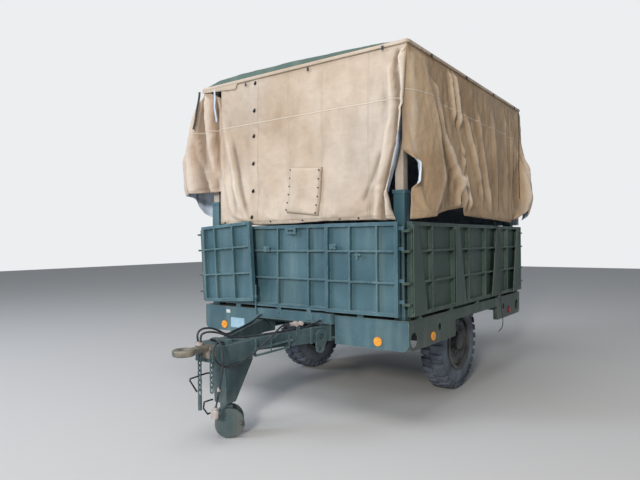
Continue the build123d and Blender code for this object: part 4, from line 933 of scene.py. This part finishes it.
# Even brown cotton without the front's bleached patches.
rear_canvas = cloth_material("rear_canvas", "#AF926E", "#C4AA87",
                             uprights=[(-0.4, 0.0, 0.006), (0.4, 0.0, 0.006)],
                             levels=[(2.78, 0.0, 0.010)])
curtain("rear_curtain", rear_points, np.stack([across, down], axis=-1), True, rear_canvas,
        "canvas_rear", fold_shade_and_light(out))

# Pouch on the front curtain
# A flat bag of the same cotton, sewn to the curtain on three sides. Its flap is held down by a row
# of snaps along each side.
pouch_wide, pouch_tall, pouch_deep = 356, 430, 32
top_left, top_right, bottom_left, bottom_right = (23, 2290), (379, 2263), (-36, 1862), (336, 1821)
snap_radius, snap_deep, snap_inset, snap_stand = 7, 8, 14, 38


def patch(name, points, cut, turned, material, thickness=0.003):
    """A small sewn-on sheet, as thick as webbing."""
    drawn = keep(name, sheet_mesh(name, points, cut, turned), material, "chassis", True)
    thick = drawn.modifiers.new("thickness", "SOLIDIFY")
    thick.thickness = thickness
    thick.offset = 0
    piece = bpy.data.objects.new(name, plain_mesh(drawn, name))
    scene.collection.objects.link(piece)
    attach(piece, "chassis")
    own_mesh(piece)
    return piece


front_cloth = BVHTree.FromObject(front_curtain, bpy.context.evaluated_depsgraph_get())


def front_face(x, z):
    """How far back the front curtain's outer face lies at a place on it."""
    hit = front_cloth.ray_cast(at(x, -400, z), Vector((0, 1, 0)))[0]
    return -30.0 if hit is None else (hit.y - BODY_FRONT) * 1000


share_u, share_v = np.meshgrid(np.linspace(0, 1, 30), np.linspace(0, 1, 36))
edges_x, edges_z = [
    (1 - share_v) * (top_left[k] + share_u * (top_right[k] - top_left[k]))
    + share_v * (bottom_left[k] + share_u * (bottom_right[k] - bottom_left[k])) for k in (0, 1)]
rim = np.minimum(np.minimum(share_u, 1 - share_u) * pouch_wide,
                 np.minimum(share_v, 1 - share_v) * pouch_tall)
swell = pouch_deep * np.clip(rim / 14, 0, 1) ** 0.6
swell += 10 * np.sin(np.pi * share_u) * np.sin(np.pi * share_v)
swell += wrinkles(edges_x, edges_z, 70, 6, 41.3) * np.clip(rim / 20, 0, 1)
behind = np.array([[front_face(x, z) for x, z in zip(*row)] for row in zip(edges_x, edges_z)])
patch("front_pouch", np.stack([edges_x, behind - 2 - swell, edges_z], axis=-1),
      np.stack([edges_x, edges_z], axis=-1), False, front_canvas)
snaps = [(x, z) for share in (0.06, 0.24, 0.42, 0.6, 0.78, 0.94)
         for x, z in ((23 - 59 * share + snap_inset, 2288 - 426 * share),
                      (379 - 43 * share - snap_inset, 2263 - 442 * share))]
pouch_snaps = repeated("pouch_snaps", [(x, front_face(x, z) - snap_stand, z) for x, z in snaps],
                       snap_radius, snap_deep, (math.pi / 2, 0, 0), black_steel, "chassis", 12)
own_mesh(pouch_snaps)

# Toggles and eyelets
# Steel rings are pressed into the doubled strip, and a turned toggle on a short lace sits in each.
# Smaller eyelets along the hem take the ties that hold the curtain to the walls.
toggles = [(-457, 3176), (-460, 2899), (-468, 2644), (-471, 2368), (-483, 2094), (-494, 1832)]
hem_row, hem_places = 1787, (-880, -640, -240, 150, 560, 760)
facing_front = (math.pi / 2, 0, 0)
slanting = (0, math.radians(40), 0)
eyelet_radius, eyelet_deep, knob_radius, knob_long, small_radius, small_deep = 17, 5, 7, 34, 10, 4
toggle_eyelets = repeated("toggle_eyelets", [(x, front_face(x, z) - 1, z) for x, z in toggles],
                          eyelet_radius, eyelet_deep, facing_front, black_steel, "chassis", 16)
toggle_knobs = repeated("toggle_knobs", [(x + 7, front_face(x, z) - 12, z + 6) for x, z in toggles],
                        knob_radius, knob_long, slanting, black_steel, "chassis", 12)
hem_eyelets = repeated("hem_eyelets", [(x, front_face(x, hem_row) - 1, hem_row) for x in hem_places],
                       small_radius, small_deep, facing_front, black_steel, "chassis", 16)
for piece in (toggle_eyelets, toggle_knobs, hem_eyelets):
    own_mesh(piece)

# Valance
# One long strip of cotton runs round the front and both sides under the roof's edge and covers the
# curtains' upper hems. It hangs loose below.
valance_top, valance_hem = 3252, 3224
corner = [(-1244, 3108), (-1244, 60), (-1242, 8), (-1230, -14), (-1180, -24), (1180, -24), (1228, -38),
          (1246, -14), (1246, 60), (1246, 3112)]
run = np.concatenate([[0], np.cumsum([math.dist(a, b) for a, b in zip(corner, corner[1:])])])
share_u, share_v = np.meshgrid(np.linspace(0, run[-1], 420), np.linspace(0, 1, 6))
band_x = np.interp(share_u, run, [p[0] for p in corner])
band_y = np.interp(share_u, run, [p[1] for p in corner])
# Its left length in front is cut deeper and sags towards the joint.
lower = np.where(band_y < 0, np.interp(band_x, [-1235, -1094, -722, -707, 1250],
                                       [3203, 3191, 3160, 3218, valance_hem]), valance_hem)
band_z = valance_top + (lower - valance_top) * share_v
loose = wrinkles(share_u, band_z, 160, 5, 52.7) * share_v + 2
inward = np.where(band_y < 0, 0, np.sign(band_x))
valance_points = np.stack([band_x + inward * loose, band_y - np.where(band_y < 0, loose, 0), band_z],
                          axis=-1)
patch("valance", valance_points, np.stack([share_u, band_z], axis=-1), False, front_canvas)

# Buckles
# Small pressed steel buckles on the valance, three in front and four along the right side, each
# riveted through it into the roof's rim.
buckle_boxes = [((x - 11, x + 11), (-38, -32), (z - 17, z + 17))
                for x, z in ((1011, 3220), (219, 3190), (-572, 3183))]
buckle_boxes += [((1252, 1258), (y - 14, y + 14), (3208, 3240)) for y in (420, 1262, 2082, 2869)]
buckles = blocks("buckles", buckle_boxes, black_steel, "chassis")
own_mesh(buckles)

# Straps
# Three narrow webbing straps hang from the roof's rim, one dark and one pale at the left front
# corner and a long dark one at the right rear bag.


def strap(name, line, half_x, half_y, material):
    """A narrow webbing strap that hangs along a line."""
    places = np.array(line, float)
    run = np.concatenate([[0], np.cumsum(np.linalg.norm(np.diff(places, axis=0), axis=1))])
    steps = np.linspace(0, run[-1], 30)
    middle_line = np.stack([np.interp(steps, run, places[:, k]) for k in range(3)], axis=-1)
    middle_line[:, 1] += 4 * np.sin(steps / 40)
    side = np.array([half_x, half_y, 0.0])
    points = np.stack([middle_line - side, middle_line, middle_line + side], axis=1)
    cut = np.stack([np.tile([0.0, 14.0, 28.0], (30, 1)), np.tile(-steps[:, None], (1, 3))], axis=-1)
    patch(name, points, cut, False, material,
          0.0025)


strap("corner_strap", [(-1262, -30, 3222), (-1268, -52, 3060), (-1300, -66, 2900), (-1318, -70, 2815)],
      12, 4, tie_rope)
strap("pale_strap", [(-1000, -60, 3190), (-990, -66, 3010), (-972, -62, 2850)], 11, 0, canvas_lining)
strap("rear_strap", [(1300, 2870, 3210), (1306, 2874, 2900), (1300, 2868, 2500), (1306, 2872, 2100)],
      0, 11, tie_rope)
